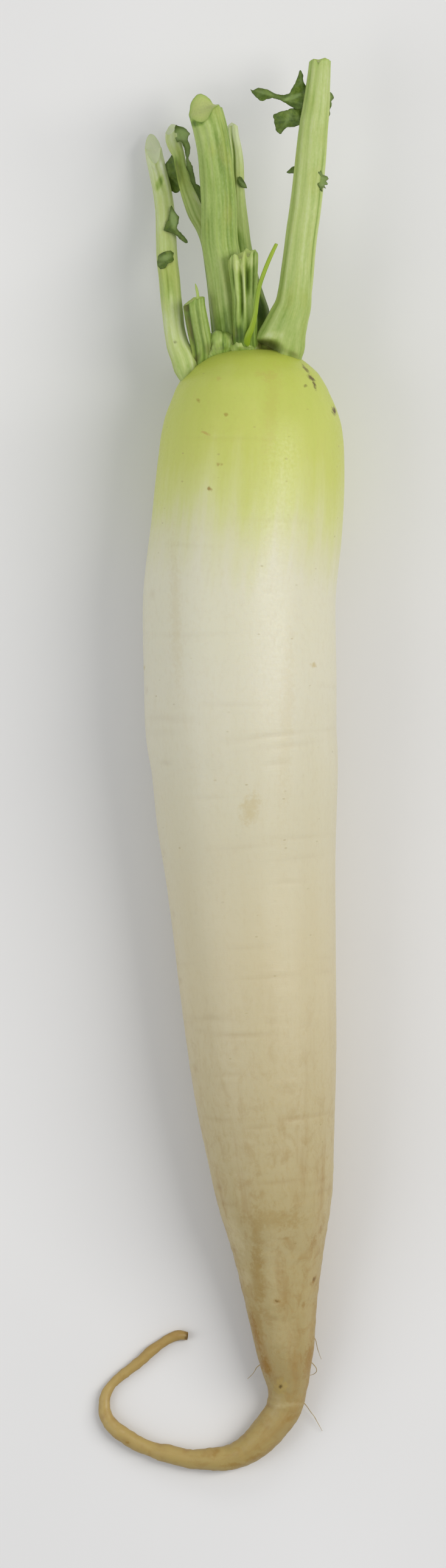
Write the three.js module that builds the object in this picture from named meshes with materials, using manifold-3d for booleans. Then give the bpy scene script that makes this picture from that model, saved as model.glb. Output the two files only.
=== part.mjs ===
// A long white radish, pulled and trimmed: one root from its green shoulder to the tip of its curled
// tail, and the leaf stalks that were cut off above its crown. It lies along Y with the stalks at +Y,
// and rests on a small flat spot under its belly. Millimetres, +Z up, z = 0 is what it lies on.
import * as THREE from 'three';
import { mergeVertices } from 'three/addons/utils/BufferGeometryUtils.js';
import Module from 'manifold-3d';

const wasm = await Module();
wasm.setup();

// Driving dimensions
const bellyRadius = 25.4;
const flatDepth = 0.5; // how far the belly is pressed flat
const gap = 0.3; // air left between neighbours
const leafThickness = 0.8;
const channelDepth = 0.35; // of the channel inside a stalk, as a share of its radius
const leastVolume = 0.5; // smaller crumbs left by a cut are dropped

const bellyHeight = bellyRadius - flatDepth;

// ---------------------------------------------------------------- materials

const finish = (color, roughness) => new THREE.MeshStandardMaterial({ color, roughness, metalness: 0 });
const rootSkin = () => finish(0xe4e0c4, 0.5);
const stalkSkin = () => finish(0xa8bf74, 0.55);
const leafBlade = () => finish(0x47682c, 0.65);
const shootSkin = () => finish(0x6f9c1c, 0.5);

// ---------------------------------------------------------------- shapes

// A closed body along a smooth curve. Each row is [x, y, z, half width, half height], and the section
// and the far end are drawn by functions of a point on the unit circle.
function loft(rows, { sides, rings, section = (x, z) => [x, z], cut = () => 0, cutFrom = 0.8 }) {
  const path = new THREE.CatmullRomCurve3(rows.map(([x, y, z]) => new THREE.Vector3(x, y, z)));
  const size = new THREE.CatmullRomCurve3(rows.map(([, , , w, h = w]) => new THREE.Vector3(w, h, 0)));
  const geometry = new THREE.CylinderGeometry(1, 1, 1, sides, rings);
  const position = geometry.attributes.position;
  const up = new THREE.Vector3(0, 0, 1);
  for (let i = 0; i < position.count; i++) {
    const t = position.getY(i) + 0.5;
    const [u, v] = section(position.getX(i), position.getZ(i), t);
    const point = path.getPoint(t);
    const along = path.getTangent(t);
    const across = new THREE.Vector3().crossVectors(along, up).normalize();
    const lift = new THREE.Vector3().crossVectors(across, along);
    const half = size.getPoint(t);
    const trim = cut(position.getX(i), position.getZ(i)) * Math.max(0, (t - cutFrom) / (1 - cutFrom));
    point.addScaledVector(across, u * half.x).addScaledVector(lift, v * half.y);
    point.addScaledVector(along, trim);
    position.setXYZ(i, point.x, point.y, point.z);
  }
  return welded(geometry);
}

// A scrap of leaf: an outline seen from above, given its thickness, then tilted and lifted by a function.
function blade(outline, height) {
  const shape = new THREE.Shape(outline.map(([x, y]) => new THREE.Vector2(x, y)));
  const geometry = new THREE.ExtrudeGeometry(shape, { depth: leafThickness, bevelEnabled: false });
  const position = geometry.attributes.position;
  for (let i = 0; i < position.count; i++) {
    position.setZ(i, position.getZ(i) + height(position.getX(i), position.getY(i)));
  }
  return welded(geometry);
}

function welded(geometry) {
  geometry.deleteAttribute('normal');
  geometry.deleteAttribute('uv');
  return mergeVertices(geometry);
}

function solidOf(geometry) {
  const vertProperties = geometry.attributes.position.array;
  const triVerts = new Uint32Array(geometry.index.array);
  return new wasm.Manifold(new wasm.Mesh({ numProp: 3, vertProperties, triVerts }));
}

function geometryOf(solid) {
  const { vertProperties, triVerts } = solid.getMesh();
  const geometry = new THREE.BufferGeometry();
  geometry.setAttribute('position', new THREE.BufferAttribute(vertProperties, 3));
  geometry.setIndex(new THREE.BufferAttribute(triVerts, 1));
  return geometry;
}

// The same body grown by the gap, which is what its neighbours are cut with.
function grown(geometry) {
  const bigger = geometry.clone();
  bigger.computeVertexNormals();
  const { position, normal } = bigger.attributes;
  for (let i = 0; i < position.count; i++) {
    position.setXYZ(
      i,
      position.getX(i) + gap * normal.getX(i),
      position.getY(i) + gap * normal.getY(i),
      position.getZ(i) + gap * normal.getZ(i),
    );
  }
  return welded(bigger);
}

// ---------------------------------------------------------------- the root

// From the crown to the tip of the tail: where its middle runs, and its radius there.
const rootRows = [
  [8.2, 109.3, 25, 0.6],
  [8.2, 109.2, 25, 4.6],
  [8.2, 108.6, 25, 7.9],
  [8.2, 107.1, 25, 12],
  [8.2, 104.4, 25, 15.6],
  [8.2, 101.8, 25, 18.1],
  [8.15, 99.2, 25, 19.8],
  [8.1, 97, 25, 20.8],
  [8.05, 91.4, 24.95, 23],
  [8, 86.5, 24.9, 24],
  [7.8, 80.4, 24.9, 24.5],
  [7.4, 73.4, 24.9, 24.9],
  [6.5, 61.4, bellyHeight - 0.1, 25.2],
  [5.2, 50, bellyHeight, bellyRadius - 0.1],
  [4.7, 42.8, bellyHeight, bellyRadius],
  [5, 22.5, bellyHeight, bellyRadius],
  [5.2, 10, 24.7, 25.2],
  [6.1, 0.9, 24.2, 24.7],
  [6.7, -13.7, 23.3, 23.8],
  [7.6, -27, 22.4, 22.6],
  [8.7, -43, 21.8, 21.5],
  [9.9, -62.8, 21, 20.2],
  [11.3, -84, 19.6, 18.5],
  [12.9, -102.8, 17.6, 16.4],
  [13.9, -114.5, 16, 14.9],
  [14.8, -127.4, 13.1, 12],
  [15.7, -142.3, 10.3, 9.3],
  [16.8, -155.9, 7.9, 7.2],
  [17.3, -164.6, 5.6, 5.2],
  [16.1, -170, 4.7, 4.6],
  [13.4, -173.9, 4.35, 4.4],
  [10.2, -177.5, 4.1, 4.15],
  [6.3, -180.7, 3.7, 3.75],
  [1.8, -182.5, 3.25, 3.3],
  [-3.1, -182.9, 2.9, 2.95],
  [-7.9, -182.9, 2.45, 2.5],
  [-13.6, -181.6, 2.4, 2.45],
  [-18.4, -180.4, 2, 2.05],
  [-24.1, -177.7, 2, 2.05],
  [-28.6, -174.3, 1.9, 1.95],
  [-30.5, -171.8, 1.65, 1.7],
  [-31, -169, 1.45, 1.5],
  [-30.6, -166.2, 1.35, 1.4],
  [-28.9, -163.3, 1.25, 1.3],
  [-26.4, -161, 1.25, 1.3],
  [-23.9, -159, 1.3, 1.35],
  [-21.2, -156.9, 1.35, 1.4],
  [-18.8, -154.7, 1.35, 1.4],
  [-16, -152.6, 1.25, 1.3],
  [-13.8, -151.2, 1.25, 1.3],
  [-11.4, -150.3, 1.35, 1.4],
  [-9, -150.5, 1.05, 1.1],
];

function root() {
  const geometry = loft(rootRows, { sides: 36, rings: rootRows.length - 1 });
  const position = geometry.attributes.position;
  for (let i = 0; i < position.count; i++) {
    position.setZ(i, Math.max(0, position.getZ(i))); // the belly and the tail lie flat
  }
  return geometry;
}

// ---------------------------------------------------------------- the leaf stalks

// A stalk is rounder outside than inside: the side that faced its neighbours has a shallow channel.
const channelled = (side) => (x, z) => {
  const facing = side[0] * x + side[1] * z;
  const hollow = channelDepth * Math.max(0, facing) ** 3;
  return [x - hollow * side[0], z - hollow * side[1]];
};

const petioles = {
  right: {
    rows: [
      [14, 102.6, 23.6, 4.6, 3],
      [14.6, 106, 27, 6, 3.4],
      [15, 109.2, 29, 6.6, 3.5],
      [15.6, 111.4, 30.1, 6.5, 3.6],
      [16.5, 114.2, 31.1, 5.8, 3.6],
      [17.5, 117, 31.9, 5.3, 3.6],
      [18.7, 120.4, 32.4, 4.8, 3.6],
      [19.3, 124.7, 32.9, 4.4, 3.6],
      [19.8, 129.2, 33.2, 4.25, 3.5],
      [20.3, 134, 33.4, 4.1, 3.4],
      [20.9, 139.4, 33.4, 4.1, 3.4],
      [21.8, 145.5, 33, 4.1, 3.3],
      [22.7, 153.2, 32.2, 4, 3.2],
      [23.5, 161.2, 31.4, 3.9, 3.1],
      [24.1, 167.6, 30.6, 3.7, 2.9],
      [24.8, 174, 30.2, 3.35, 2.7],
      [25.4, 180.4, 29.9, 3, 2.5],
      [25.7, 184.6, 29.8, 2.8, 2.4],
    ],
    channel: [0, -1],
    cut: {
      over: [
        [-1, -0.6], [-0.8, 0.1], [-0.5, 0.3], [-0.25, -0.2], [-0.12, -1.5], [0, -0.2], [0.3, 0.5],
        [0.8, 0.6], [1, 0.2],
      ],
      under: [[-1, -0.4], [-0.6, 0.7], [-0.1, 0.5], [0.5, 1.2], [1, 0.4]],
    },
  },
  centre: {
    rows: [
      [4.1, 105.2, 23, 4.8, 4],
      [3.3, 109.2, 23.6, 4.8, 4],
      [2.5, 114, 24.6, 4.65, 4],
      [1.6, 120.9, 25.4, 4.65, 4],
      [0.7, 130, 26, 4.7, 4],
      [-0.5, 137.2, 26.2, 4.7, 4],
      [-0.8, 148.1, 26.2, 4.65, 3.9],
      [-1.3, 154.8, 26.3, 4.5, 3.8],
      [-2, 161.5, 26.5, 4.4, 3.7],
      [-3.1, 167.3, 26.9, 4.4, 3.6],
      [-4.4, 172, 27.4, 4.4, 3.4],
    ],
    channel: [0, -1],
    cut: {
      over: [
        [-1, -2.4], [-0.8, -3], [-0.4, -3.3], [0, -2.5], [0.3, -1.2], [0.5, -0.3], [0.8, 0.3],
        [1, -0.5],
      ],
      under: [
        [-1, 0.6], [-0.88, 2.2], [-0.75, 3], [-0.5, 3.9], [-0.2, 4.3], [0.05, 4.2], [0.3, 3.4],
        [0.48, 2.2], [0.58, 0.6], [0.75, 0.4], [0.9, 0.2], [1, -0.8],
      ],
    },
  },
  centre_back: {
    rows: [
      [8.4, 107.6, 22.2, 4.1, 3.2],
      [8.4, 111.6, 22.2, 4.2, 3.2],
      [8.3, 114.8, 22.2, 4.5, 3.3],
      [8.1, 118.3, 22.2, 4.65, 3.3],
      [7.5, 122, 22.2, 4.1, 3.2],
      [6.7, 126, 22.2, 3.6, 3.2],
      [5.6, 130.8, 22, 3.4, 3.1],
      [4.6, 136.4, 21.8, 3.1, 3],
      [4.3, 141.2, 21.6, 2.8, 2.9],
      [4, 146.8, 21.6, 2.4, 2.8],
      [3.8, 151.6, 21.6, 2.2, 2.7],
      [3.7, 157.2, 21.6, 2.2, 2.6],
      [3.5, 161.2, 21.6, 1.95, 2.4],
      [2.9, 165.2, 21.6, 1.7, 2.2],
      [2.7, 168.4, 21.6, 1.45, 2],
    ],
    channel: [-0.2, 0.98],
    cut: {
      over: [[-1, -1.4], [-0.3, -0.5], [0.4, 0], [1, -0.8]],
      under: [[-1, -0.4], [0, 0.6], [1, -0.3]],
    },
  },
  left_inner: {
    rows: [
      [0.6, 106.8, 21.6, 2.1, 2.1],
      [-0.2, 111.6, 20, 2.25, 2.2],
      [-0.8, 118, 18.8, 2.25, 2.2],
      [-1.5, 124.4, 18.2, 2.15, 2.2],
      [-2.3, 130.8, 17.8, 2.1, 2.1],
      [-3.4, 137.2, 17.4, 2, 2.1],
      [-4.8, 141.2, 16.8, 2, 2],
      [-6.8, 145.2, 16, 2.15, 2],
      [-8, 148.4, 15.2, 2.1, 1.9],
      [-9.2, 151.6, 14.2, 1.85, 1.8],
      [-10.1, 154.8, 13.4, 1.7, 1.7],
      [-10.8, 158, 12.6, 1.6, 1.6],
      [-11.4, 160.9, 12, 1.6, 1.6],
      [-12.2, 163.1, 11.7, 1.9, 1.6],
      [-12.7, 165.4, 11.5, 2.15, 1.6],
      [-13, 168.2, 11.3, 2, 1.5],
    ],
    channel: [0, 1],
    cut: {
      over: [[-1, -2.2], [-0.7, -2.6], [-0.2, -2], [0.4, -1], [0.8, -0.6], [1, -0.6]],
      under: [[-1, -1.2], [-0.6, 0.1], [-0.1, 0.8], [0.4, 0.7], [0.8, 0.1], [1, -0.5]],
    },
  },
  left_outer: {
    rows: [
      [-7.2, 98.6, 27, 0.9, 1.6],
      [-8.4, 100.9, 27.3, 2.1, 2.4],
      [-9.2, 103.9, 27.4, 3.2, 2.7],
      [-10, 106.8, 27.3, 3.3, 2.8],
      [-11.4, 110, 26.8, 3, 2.8],
      [-12.3, 114, 25.9, 2.75, 2.8],
      [-12.8, 118.3, 24.9, 2.7, 2.9],
      [-13.3, 122.8, 23.7, 2.7, 2.9],
      [-13.7, 127.6, 22.2, 2.7, 2.9],
      [-14.3, 133.2, 20, 2.7, 2.9],
      [-14.6, 139.6, 17.2, 2.6, 2.8],
      [-14.9, 146, 14.4, 2.5, 2.7],
      [-15.7, 151.6, 11.9, 2.4, 2.6],
      [-16.8, 156.4, 9.9, 2.3, 2.5],
      [-17.8, 161.2, 8.2, 2.3, 2.4],
      [-18.6, 165.8, 7.1, 2.2, 2.3],
    ],
    channel: [0.3, 0.95],
    cut: {
      over: [
        [-1, -3.4], [-0.92, -5], [-0.75, -6.6], [-0.45, -7.8], [0, -8.3], [0.45, -7.9], [0.75, -6.8],
        [0.92, -5.4], [1, -3.8],
      ],
      under: [
        [-1, -2.8], [-0.92, -1], [-0.75, 0.2], [-0.45, 1], [0, 1.3], [0.45, 1], [0.75, 0.1],
        [0.92, -1.2], [1, -3.2],
      ],
    },
  },
};

// How far the far end of a stalk is cut back (below zero) or left longer, in millimetres, across its
// upper side and across its lower side: from -1 on one flank to 1 on the other.
const cutEnd = ({ over, under }) => (x, z) => {
  const upper = alongLine(over, x);
  return upper + (alongLine(under, x) - upper) * (0.5 - 0.5 * z);
};

function alongLine(points, x) {
  const next = points.findIndex(([at]) => at >= x);
  if (next <= 0) return points.at(next)[1];
  const [[x0, y0], [x1, y1]] = [points[next - 1], points[next]];
  return y0 + ((y1 - y0) * (x - x0)) / (x1 - x0);
}

function stalk({ rows, channel, cut }) {
  const section = channelled(channel);
  return loft(rows, { sides: 24, rings: 2 * (rows.length - 1), section, cut: cutEnd(cut) });
}

// ---------------------------------------------------------------- stalks cut short

const stubs = {
  left: {
    rows: [
      [-5.2, 103.6, 25.6, 2.2, 1.9],
      [-5, 106.2, 27.2, 2.7, 2.2],
      [-5.2, 110, 28.4, 2.85, 2.4],
      [-6, 114, 29.2, 2.95, 2.4],
      [-6.8, 118, 29.8, 2.9, 2.3],
      [-7.2, 120.4, 30.1, 2.85, 2.2],
      [-7.3, 122, 30.3, 2.8, 2],
    ],
    channel: [0, -1],
    cut: {
      over: [
        [-1, -1.6], [-0.7, -1], [-0.5, -0.7], [-0.2, -0.3], [0, 0.1], [0.15, 0.7], [0.3, 0.3],
        [0.7, 0.7], [1, 0.4],
      ],
      under: [[-1, -1.2], [0, 0.6], [1, 0.8]],
    },
  },
  front: {
    rows: [
      [6.4, 106.8, 27.4, 3.4, 2.3],
      [6.2, 111.6, 29.8, 3.2, 2.4],
      [6.1, 117.2, 31.4, 3.2, 2.3],
      [6, 122.8, 32.2, 3.2, 2.2],
      [5.8, 128.4, 32.8, 3.6, 2],
      [5.7, 131.6, 33.1, 3.85, 1.8],
      [5.7, 133.4, 33.2, 3.85, 1.6],
    ],
    channel: [0, -1],
    cut: {
      over: [
        [-1, -1.4], [-0.86, -0.4], [-0.78, 0.4], [-0.66, 0.2], [-0.52, 0.7], [-0.36, 0.2],
        [-0.22, -1.8], [-0.12, -1.4], [0, 0.9], [0.12, 1.7], [0.22, 0.3], [0.34, -1.7], [0.46, 0.8],
        [0.6, 1.6], [0.72, 0.4], [0.86, 1.5], [1, 0.2],
      ],
      under: [[-1, -0.8], [-0.5, 0.4], [0, 1.2], [0.2, 2.2], [0.5, 1.4], [0.8, 2], [1, 0.6]],
    },
  },
};

// Furrows that run along the torn stalk: [where across it, half width, depth], as shares of its size.
const furrows = [[-0.7, 0.14, 0.22], [-0.15, 0.14, 0.4], [0.36, 0.16, 0.4], [0.8, 0.12, 0.2]];

function stubFront({ rows, cut }) {
  const section = (x, z) => {
    const sunk = furrows.map(([at, half, depth]) => depth * Math.exp(-(((x - at) / half) ** 2)));
    return [x, z - Math.max(...sunk) * Math.max(0, z)];
  };
  return loft(rows, { sides: 44, rings: 2 * (rows.length - 1), section, cut: cutEnd(cut) });
}

const shootRows = [
  [6.4, 108.4, 29.8, 0.6, 0.6],
  [6.6, 110.4, 31.5, 0.8, 0.7],
  [7, 112.4, 33, 0.8, 0.68],
  [8, 114.8, 34.4, 0.68, 0.6],
  [8.8, 118, 35.6, 0.54, 0.5],
  [9.2, 121.2, 36.2, 0.48, 0.48],
  [9.7, 124.4, 36.5, 0.46, 0.46],
  [10.5, 127.3, 36.8, 0.45, 0.45],
  [11.8, 130.8, 37.1, 0.44, 0.42],
  [13.2, 134, 37.3, 0.42, 0.4],
  [14.4, 136.5, 37.4, 0.36, 0.34],
];

// Old leaf feet, grown into one soft mass in two halves, drawn from left to right.
const scales = {
  left: [
    [-6.4, 104.6, 25.4, 0.6, 0.8],
    [-5, 106.6, 26.4, 2, 2],
    [-3, 108.4, 26.8, 3.4, 3],
    [-1, 109.6, 27, 4.1, 3.6],
    [1, 109.8, 27, 3.9, 3.8],
    [2.8, 109.4, 26.9, 2.9, 3],
    [4, 109, 26.6, 1.2, 1.4],
  ],
  right: [
    [1.6, 109.2, 26.6, 1.2, 1.6],
    [3, 109.5, 27, 2.6, 3.6],
    [5.4, 109.4, 27.3, 3, 4.3],
    [7.8, 109.3, 27.2, 2.5, 3.9],
    [9.4, 109.2, 27, 1.7, 2.6],
    [10.8, 109, 26.4, 0.7, 1],
  ],
};

const crownScale = (rows) => loft(rows, { sides: 24, rings: 2 * (rows.length - 1) });

// ---------------------------------------------------------------- scraps of leaf

// How high a scrap lies: level, sloping along X or along Y from a line where its height is z, or arched.
const level = (z) => () => z;
const slopingX = ({ z, from, slope }) => (x) => z + slope * (x - from);
const slopingY = ({ z, from, slope }) => (x, y) => z + slope * (y - from);
const archedX = ({ z, from, fall }) => (x) => z - fall * (x - from) ** 2;

const leaves = {
  right_upper: {
    outline: [
      [7.3, 177.5], [8.4, 177.2], [9.6, 177.8], [10.8, 177.5], [12.1, 177.2], [13.7, 176.2],
      [15.3, 175.9], [16.6, 175.9], [17.7, 176.2], [18.5, 177.5], [19.2, 178.8], [20, 180.9],
      [20.6, 182.5], [21.2, 181], [21.6, 179.1], [22.2, 177.8], [22, 175.9], [21.5, 173.7],
      [21, 171.9], [19.3, 172], [18, 172.7], [16.8, 173.6], [15, 174.6], [13.4, 175.1], [12.1, 174.8],
      [10.8, 174.2], [9.9, 174.6], [8.8, 175.6],
    ],
    height: archedX({ z: 29.6, from: 21, fall: 0.02 }),
  },
  right_lower: {
    outline: [
      [21.6, 172.2], [19.8, 172.4], [18.2, 172.2], [16.3, 171.6], [14.7, 171.1], [13.6, 170.6],
      [13.7, 169.2], [14, 167.6], [14.7, 166], [15.5, 165.5], [16.3, 166.5], [17.2, 167.3],
      [18.5, 167.6], [20.1, 167.8], [21.4, 168.1], [21.5, 170.5],
    ],
    height: slopingX({ z: 29.8, from: 21, slope: 0.22 }),
  },
  right_bud_left: {
    outline: [
      [16.9, 155.4], [17.6, 155.9], [18.4, 156.7], [19.4, 157.2], [19.6, 155], [18.5, 155.3],
      [17.7, 155.2],
    ],
    height: slopingX({ z: 31.4, from: 19.3, slope: 0.4 }),
  },
  right_bud_top: {
    outline: [
      [27, 177.4], [28.3, 176.6], [29.2, 175.9], [29.6, 175.1], [28.6, 174.3], [28.8, 173],
      [28.3, 171.8], [28.4, 170.5], [27.8, 169.5], [27, 170.6], [26.8, 174],
    ],
    height: level(29.7),
  },
  right_bud_low: {
    outline: [
      [25.5, 156.4], [26.3, 155.6], [26.6, 154.6], [27.6, 154.2], [28.3, 153.6], [27.3, 153.1],
      [28, 152.2], [26.9, 152], [27.4, 151], [26.4, 151.4], [26.5, 150.2], [25.8, 150.8],
      [25.2, 151.9], [25.2, 154.5],
    ],
    height: slopingX({ z: 33.6, from: 26, slope: -0.45 }),
  },
  left_inner: {
    outline: [
      [-12, 168.6], [-10.9, 168.1], [-9.6, 167.6], [-8.2, 166.3], [-8.8, 165.4], [-9, 164.6],
      [-8.4, 163.4], [-8.2, 161.5], [-8.7, 159.9], [-8.4, 158.8], [-7.6, 157.4], [-7.4, 156.1],
      [-7.1, 154.6], [-6.8, 153], [-6, 152.6], [-5.3, 151.8], [-5, 150.3], [-4.8, 148.4],
      [-5.3, 147.3], [-6.1, 148.4], [-7.2, 150.2], [-8, 151.8], [-8.5, 153.5], [-8.8, 155.6],
      [-9.2, 158], [-9.3, 160.2], [-9.5, 161.5], [-10, 162.8], [-10.4, 164.1], [-11.1, 164.4],
      [-11.9, 164.1], [-12.4, 165.7], [-12.4, 167.3],
    ],
    height: slopingY({ z: 13.5, from: 155, slope: -0.1 }),
  },
  left_inner_low: {
    outline: [
      [-12.8, 161.2], [-12, 160.9], [-11.7, 159.3], [-11.6, 157.2], [-11.1, 154.8], [-10.9, 152.7],
      [-11.4, 151], [-12.4, 150.6], [-13.3, 151.4], [-14, 152.7], [-14.9, 153.2], [-15.4, 154.6],
      [-14.9, 156.4], [-15.1, 158], [-14.1, 159.3], [-13.6, 160.2],
    ],
    height: slopingX({ z: 12, from: -11.5, slope: 0.9 }),
  },
  left_outer_flap: {
    outline: [
      [-13.3, 147.3], [-12.7, 146.3], [-11.9, 145.2], [-11.2, 144.1], [-11.4, 142.6], [-11.7, 141.4],
      [-11.4, 140.4], [-10.4, 139.6], [-9.3, 138.5], [-8.8, 137.5], [-9.5, 137.2], [-10.6, 138.2],
      [-11.7, 139.1], [-12.8, 139.9], [-14.3, 140.2], [-15.2, 140.9], [-14.8, 142], [-14.1, 143.3],
      [-13.8, 144.9], [-13.6, 146.3],
    ],
    height: slopingY({ z: 18.6, from: 143, slope: -0.42 }),
  },
  left_outer_band: {
    outline: [
      [-17, 132.4], [-16.7, 133.7], [-15.7, 134.6], [-14.4, 135.1], [-13.2, 135.1], [-12.2, 134.5],
      [-12.2, 133.2], [-12.8, 132.2], [-14.1, 131.8], [-15.1, 130.6], [-16.2, 130.3], [-16.8, 131.3],
    ],
    height: slopingY({ z: 22.7, from: 133, slope: -0.43 }),
  },
  centre_back_bud: {
    outline: [
      [4.6, 154.6], [5.4, 154.3], [6, 153.4], [6.5, 152.4], [6.8, 151.4], [5.7, 151.6], [4.9, 152.2],
      [4.3, 152.7], [4.1, 153.8],
    ],
    height: level(24),
  },
};

// ---------------------------------------------------------------- assembly

const radish = new THREE.Group();
const placed = [];

// Adds a piece, cut back by the gap from all that are already there.
function add(name, geometry, material) {
  let solid = solidOf(geometry);
  geometry.computeBoundingBox();
  for (const other of placed) {
    if (other.box.intersectsBox(geometry.boundingBox)) solid = solid.subtract(other.cutter);
  }
  const largest = solid.decompose().sort((a, b) => b.volume() - a.volume())[0];
  if (!largest || largest.volume() < leastVolume) throw new Error(name + ' is cut away by its neighbours');
  const kept = geometryOf(largest);
  const mesh = new THREE.Mesh(kept, material);
  mesh.name = name;
  radish.add(mesh);
  const cutter = grown(kept);
  cutter.computeBoundingBox();
  placed.push({ box: cutter.boundingBox, cutter: solidOf(cutter) });
}

add('root', root(), rootSkin());
for (const [name, spec] of Object.entries(petioles)) add('petiole_' + name, stalk(spec), stalkSkin());
add('crown_scale_left', crownScale(scales.left), stalkSkin());
add('crown_scale_right', crownScale(scales.right), stalkSkin());
add('stub_left', stalk(stubs.left), stalkSkin());
add('stub_front', stubFront(stubs.front), stalkSkin());
add('young_shoot', loft(shootRows, { sides: 10, rings: 2 * (shootRows.length - 1) }), shootSkin());
for (const [name, { outline, height }] of Object.entries(leaves)) {
  add('leaf_' + name, blade(outline, height), leafBlade());
}

export default radish;
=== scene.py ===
import itertools
import math
import random
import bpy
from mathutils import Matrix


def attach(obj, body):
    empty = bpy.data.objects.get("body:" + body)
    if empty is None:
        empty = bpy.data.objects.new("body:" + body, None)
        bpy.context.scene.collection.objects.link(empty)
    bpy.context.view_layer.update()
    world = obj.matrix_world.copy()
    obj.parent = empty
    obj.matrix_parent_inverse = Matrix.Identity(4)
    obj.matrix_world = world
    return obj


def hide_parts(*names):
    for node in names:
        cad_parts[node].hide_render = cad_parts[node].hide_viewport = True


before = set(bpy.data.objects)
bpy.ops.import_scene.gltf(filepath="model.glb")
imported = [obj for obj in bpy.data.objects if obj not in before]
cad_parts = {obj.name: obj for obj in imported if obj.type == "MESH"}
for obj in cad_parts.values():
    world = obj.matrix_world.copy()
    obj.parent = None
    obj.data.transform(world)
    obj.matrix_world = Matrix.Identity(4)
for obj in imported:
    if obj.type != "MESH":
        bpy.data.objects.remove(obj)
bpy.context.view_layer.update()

from types import SimpleNamespace

import bpy
import numpy as np
from mathutils import Vector, geometry

mm = 0.001
up = np.array([0.0, 0.0, 1.0])
print("frame loaded:", len(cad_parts), "nodes")


cameraSetup = {
    "pixelsHigh": 2576,
    "mmPerPixel": 0.16,
    "lens": 400,
    "sensor": 36,
    "centre": (0.37, -4.88),  # mm, the point it looks straight down on
    "level": 18,  # mm above the table, where the scale is exact
}

lightSetup = {
    # name: (metres from the middle, size across, size along, watts, colour)
    "keySoftbox": ((1.25, 0.25, 1.45), 0.55, 1.5, 20, (1.0, 0.985, 0.95)),
    "fillSoftbox": ((-1.4, -0.3, 1.2), 1.1, 1.6, 10, (0.95, 0.975, 1.0)),
    "endSoftbox": ((-0.1, 1.7, 1.1), 1.2, 0.6, 4, (1.0, 1.0, 1.0)),
}

tableSetup = {"size": 8.0, "colour": (0.80, 0.79, 0.775), "room": (0.93, 0.95, 1.0), "roomStrength": 0.42}


def added(name, data):
    made = bpy.data.objects.new(name, data)
    bpy.context.scene.collection.objects.link(made)
    return made


def makeCamera():
    data = bpy.data.cameras.new("camera")
    data.lens = cameraSetup["lens"]
    data.sensor_width = cameraSetup["sensor"]
    frameHeight = cameraSetup["pixelsHigh"] * cameraSetup["mmPerPixel"]
    distance = frameHeight * data.lens / data.sensor_width
    camera = added("camera", data)
    x, y = cameraSetup["centre"]
    camera.location = Vector((x, y, cameraSetup["level"] + distance)) * mm
    data.clip_start, data.clip_end = 0.1, 50
    bpy.context.scene.camera = camera


def makeLights():
    for name, (place, across, along, watts, colour) in lightSetup.items():
        data = bpy.data.lights.new(name, "AREA")
        data.shape = "RECTANGLE"
        data.size, data.size_y = across, along
        data.energy = watts
        data.color = colour
        light = added(name, data)
        light.location = place
        light.rotation_mode = "QUATERNION"
        light.rotation_quaternion = Vector(place).to_track_quat("Z", "Y")
        light.visible_camera = False


def makeRoom():
    world = bpy.data.worlds.new("room")
    world.use_nodes = True
    background = world.node_tree.nodes["Background"]
    background.inputs["Color"].default_value = (*tableSetup["room"], 1)
    background.inputs["Strength"].default_value = tableSetup["roomStrength"]
    bpy.context.scene.world = world
    bpy.context.scene.view_settings.view_transform = "Standard"


def node(tree, kind, inputs=None, **settings):
    made = tree.nodes.new(kind)
    for key, value in settings.items():
        setattr(made, key, value)
    for key, value in (inputs or {}).items():
        if isinstance(value, bpy.types.NodeSocket):
            tree.links.new(value, made.inputs[key])
        elif value is not None:
            made.inputs[key].default_value = value
    return made


def startMaterial(name, shader):
    material = bpy.data.materials.new(name)
    material.use_nodes = True
    tree = material.node_tree
    tree.nodes.clear()
    skin = node(tree, "ShaderNodeBsdfPrincipled", shader)
    node(tree, "ShaderNodeOutputMaterial", {"Surface": skin.outputs["BSDF"]})
    return material, tree, skin


def wire(skin, **sockets):
    names = {"colour": "Base Color", "roughness": "Roughness", "normal": "Normal"}
    for key, socket in sockets.items():
        skin.id_data.links.new(socket, skin.inputs[names[key]])


def fromMesh(tree, *names):
    # values that the mesh carries; "straight", its skin laid out straight in mm, is a vector
    held = [node(tree, "ShaderNodeAttribute", attribute_name=name) for name in names]
    return [each.outputs["Vector" if name == "straight" else "Fac"] for name, each in zip(names, held)]


def maths(operation, a, b, c=None):
    # here and below, a new node goes into the tree of the socket it is given
    tree = next(each for each in (a, b, c) if isinstance(each, bpy.types.NodeSocket)).id_data
    return node(tree, "ShaderNodeMath", {0: a, 1: b, 2: c}, operation=operation).outputs[0]


def times(a, b):
    return maths("MULTIPLY", a, b)


def timesPlus(a, b, c):
    return maths("MULTIPLY_ADD", a, b, c)


def stretched(vector, scale):
    inputs = {0: vector, 1: scale}
    return node(vector.id_data, "ShaderNodeVectorMath", inputs, operation="MULTIPLY").outputs[0]


def cloud(vector, scale, detail=3, rough=0.5, twist=0):
    # soft noise; a scale of three numbers draws it out along some axes
    if isinstance(scale, tuple):
        vector, scale = stretched(vector, scale), 1
    inputs = {"Vector": vector, "Scale": scale, "Detail": detail, "Roughness": rough, "Distortion": twist}
    return node(vector.id_data, "ShaderNodeTexNoise", inputs).outputs["Fac"]


def between(fac, low, high, out0=0, out1=1):
    # 0 to 1 as `fac` goes from low to high, or out0 to out1
    inputs = {"Value": fac, "From Min": low, "From Max": high, "To Min": out0, "To Max": out1}
    return node(fac.id_data, "ShaderNodeMapRange", inputs, interpolation_type="SMOOTHSTEP").outputs[0]


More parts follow.
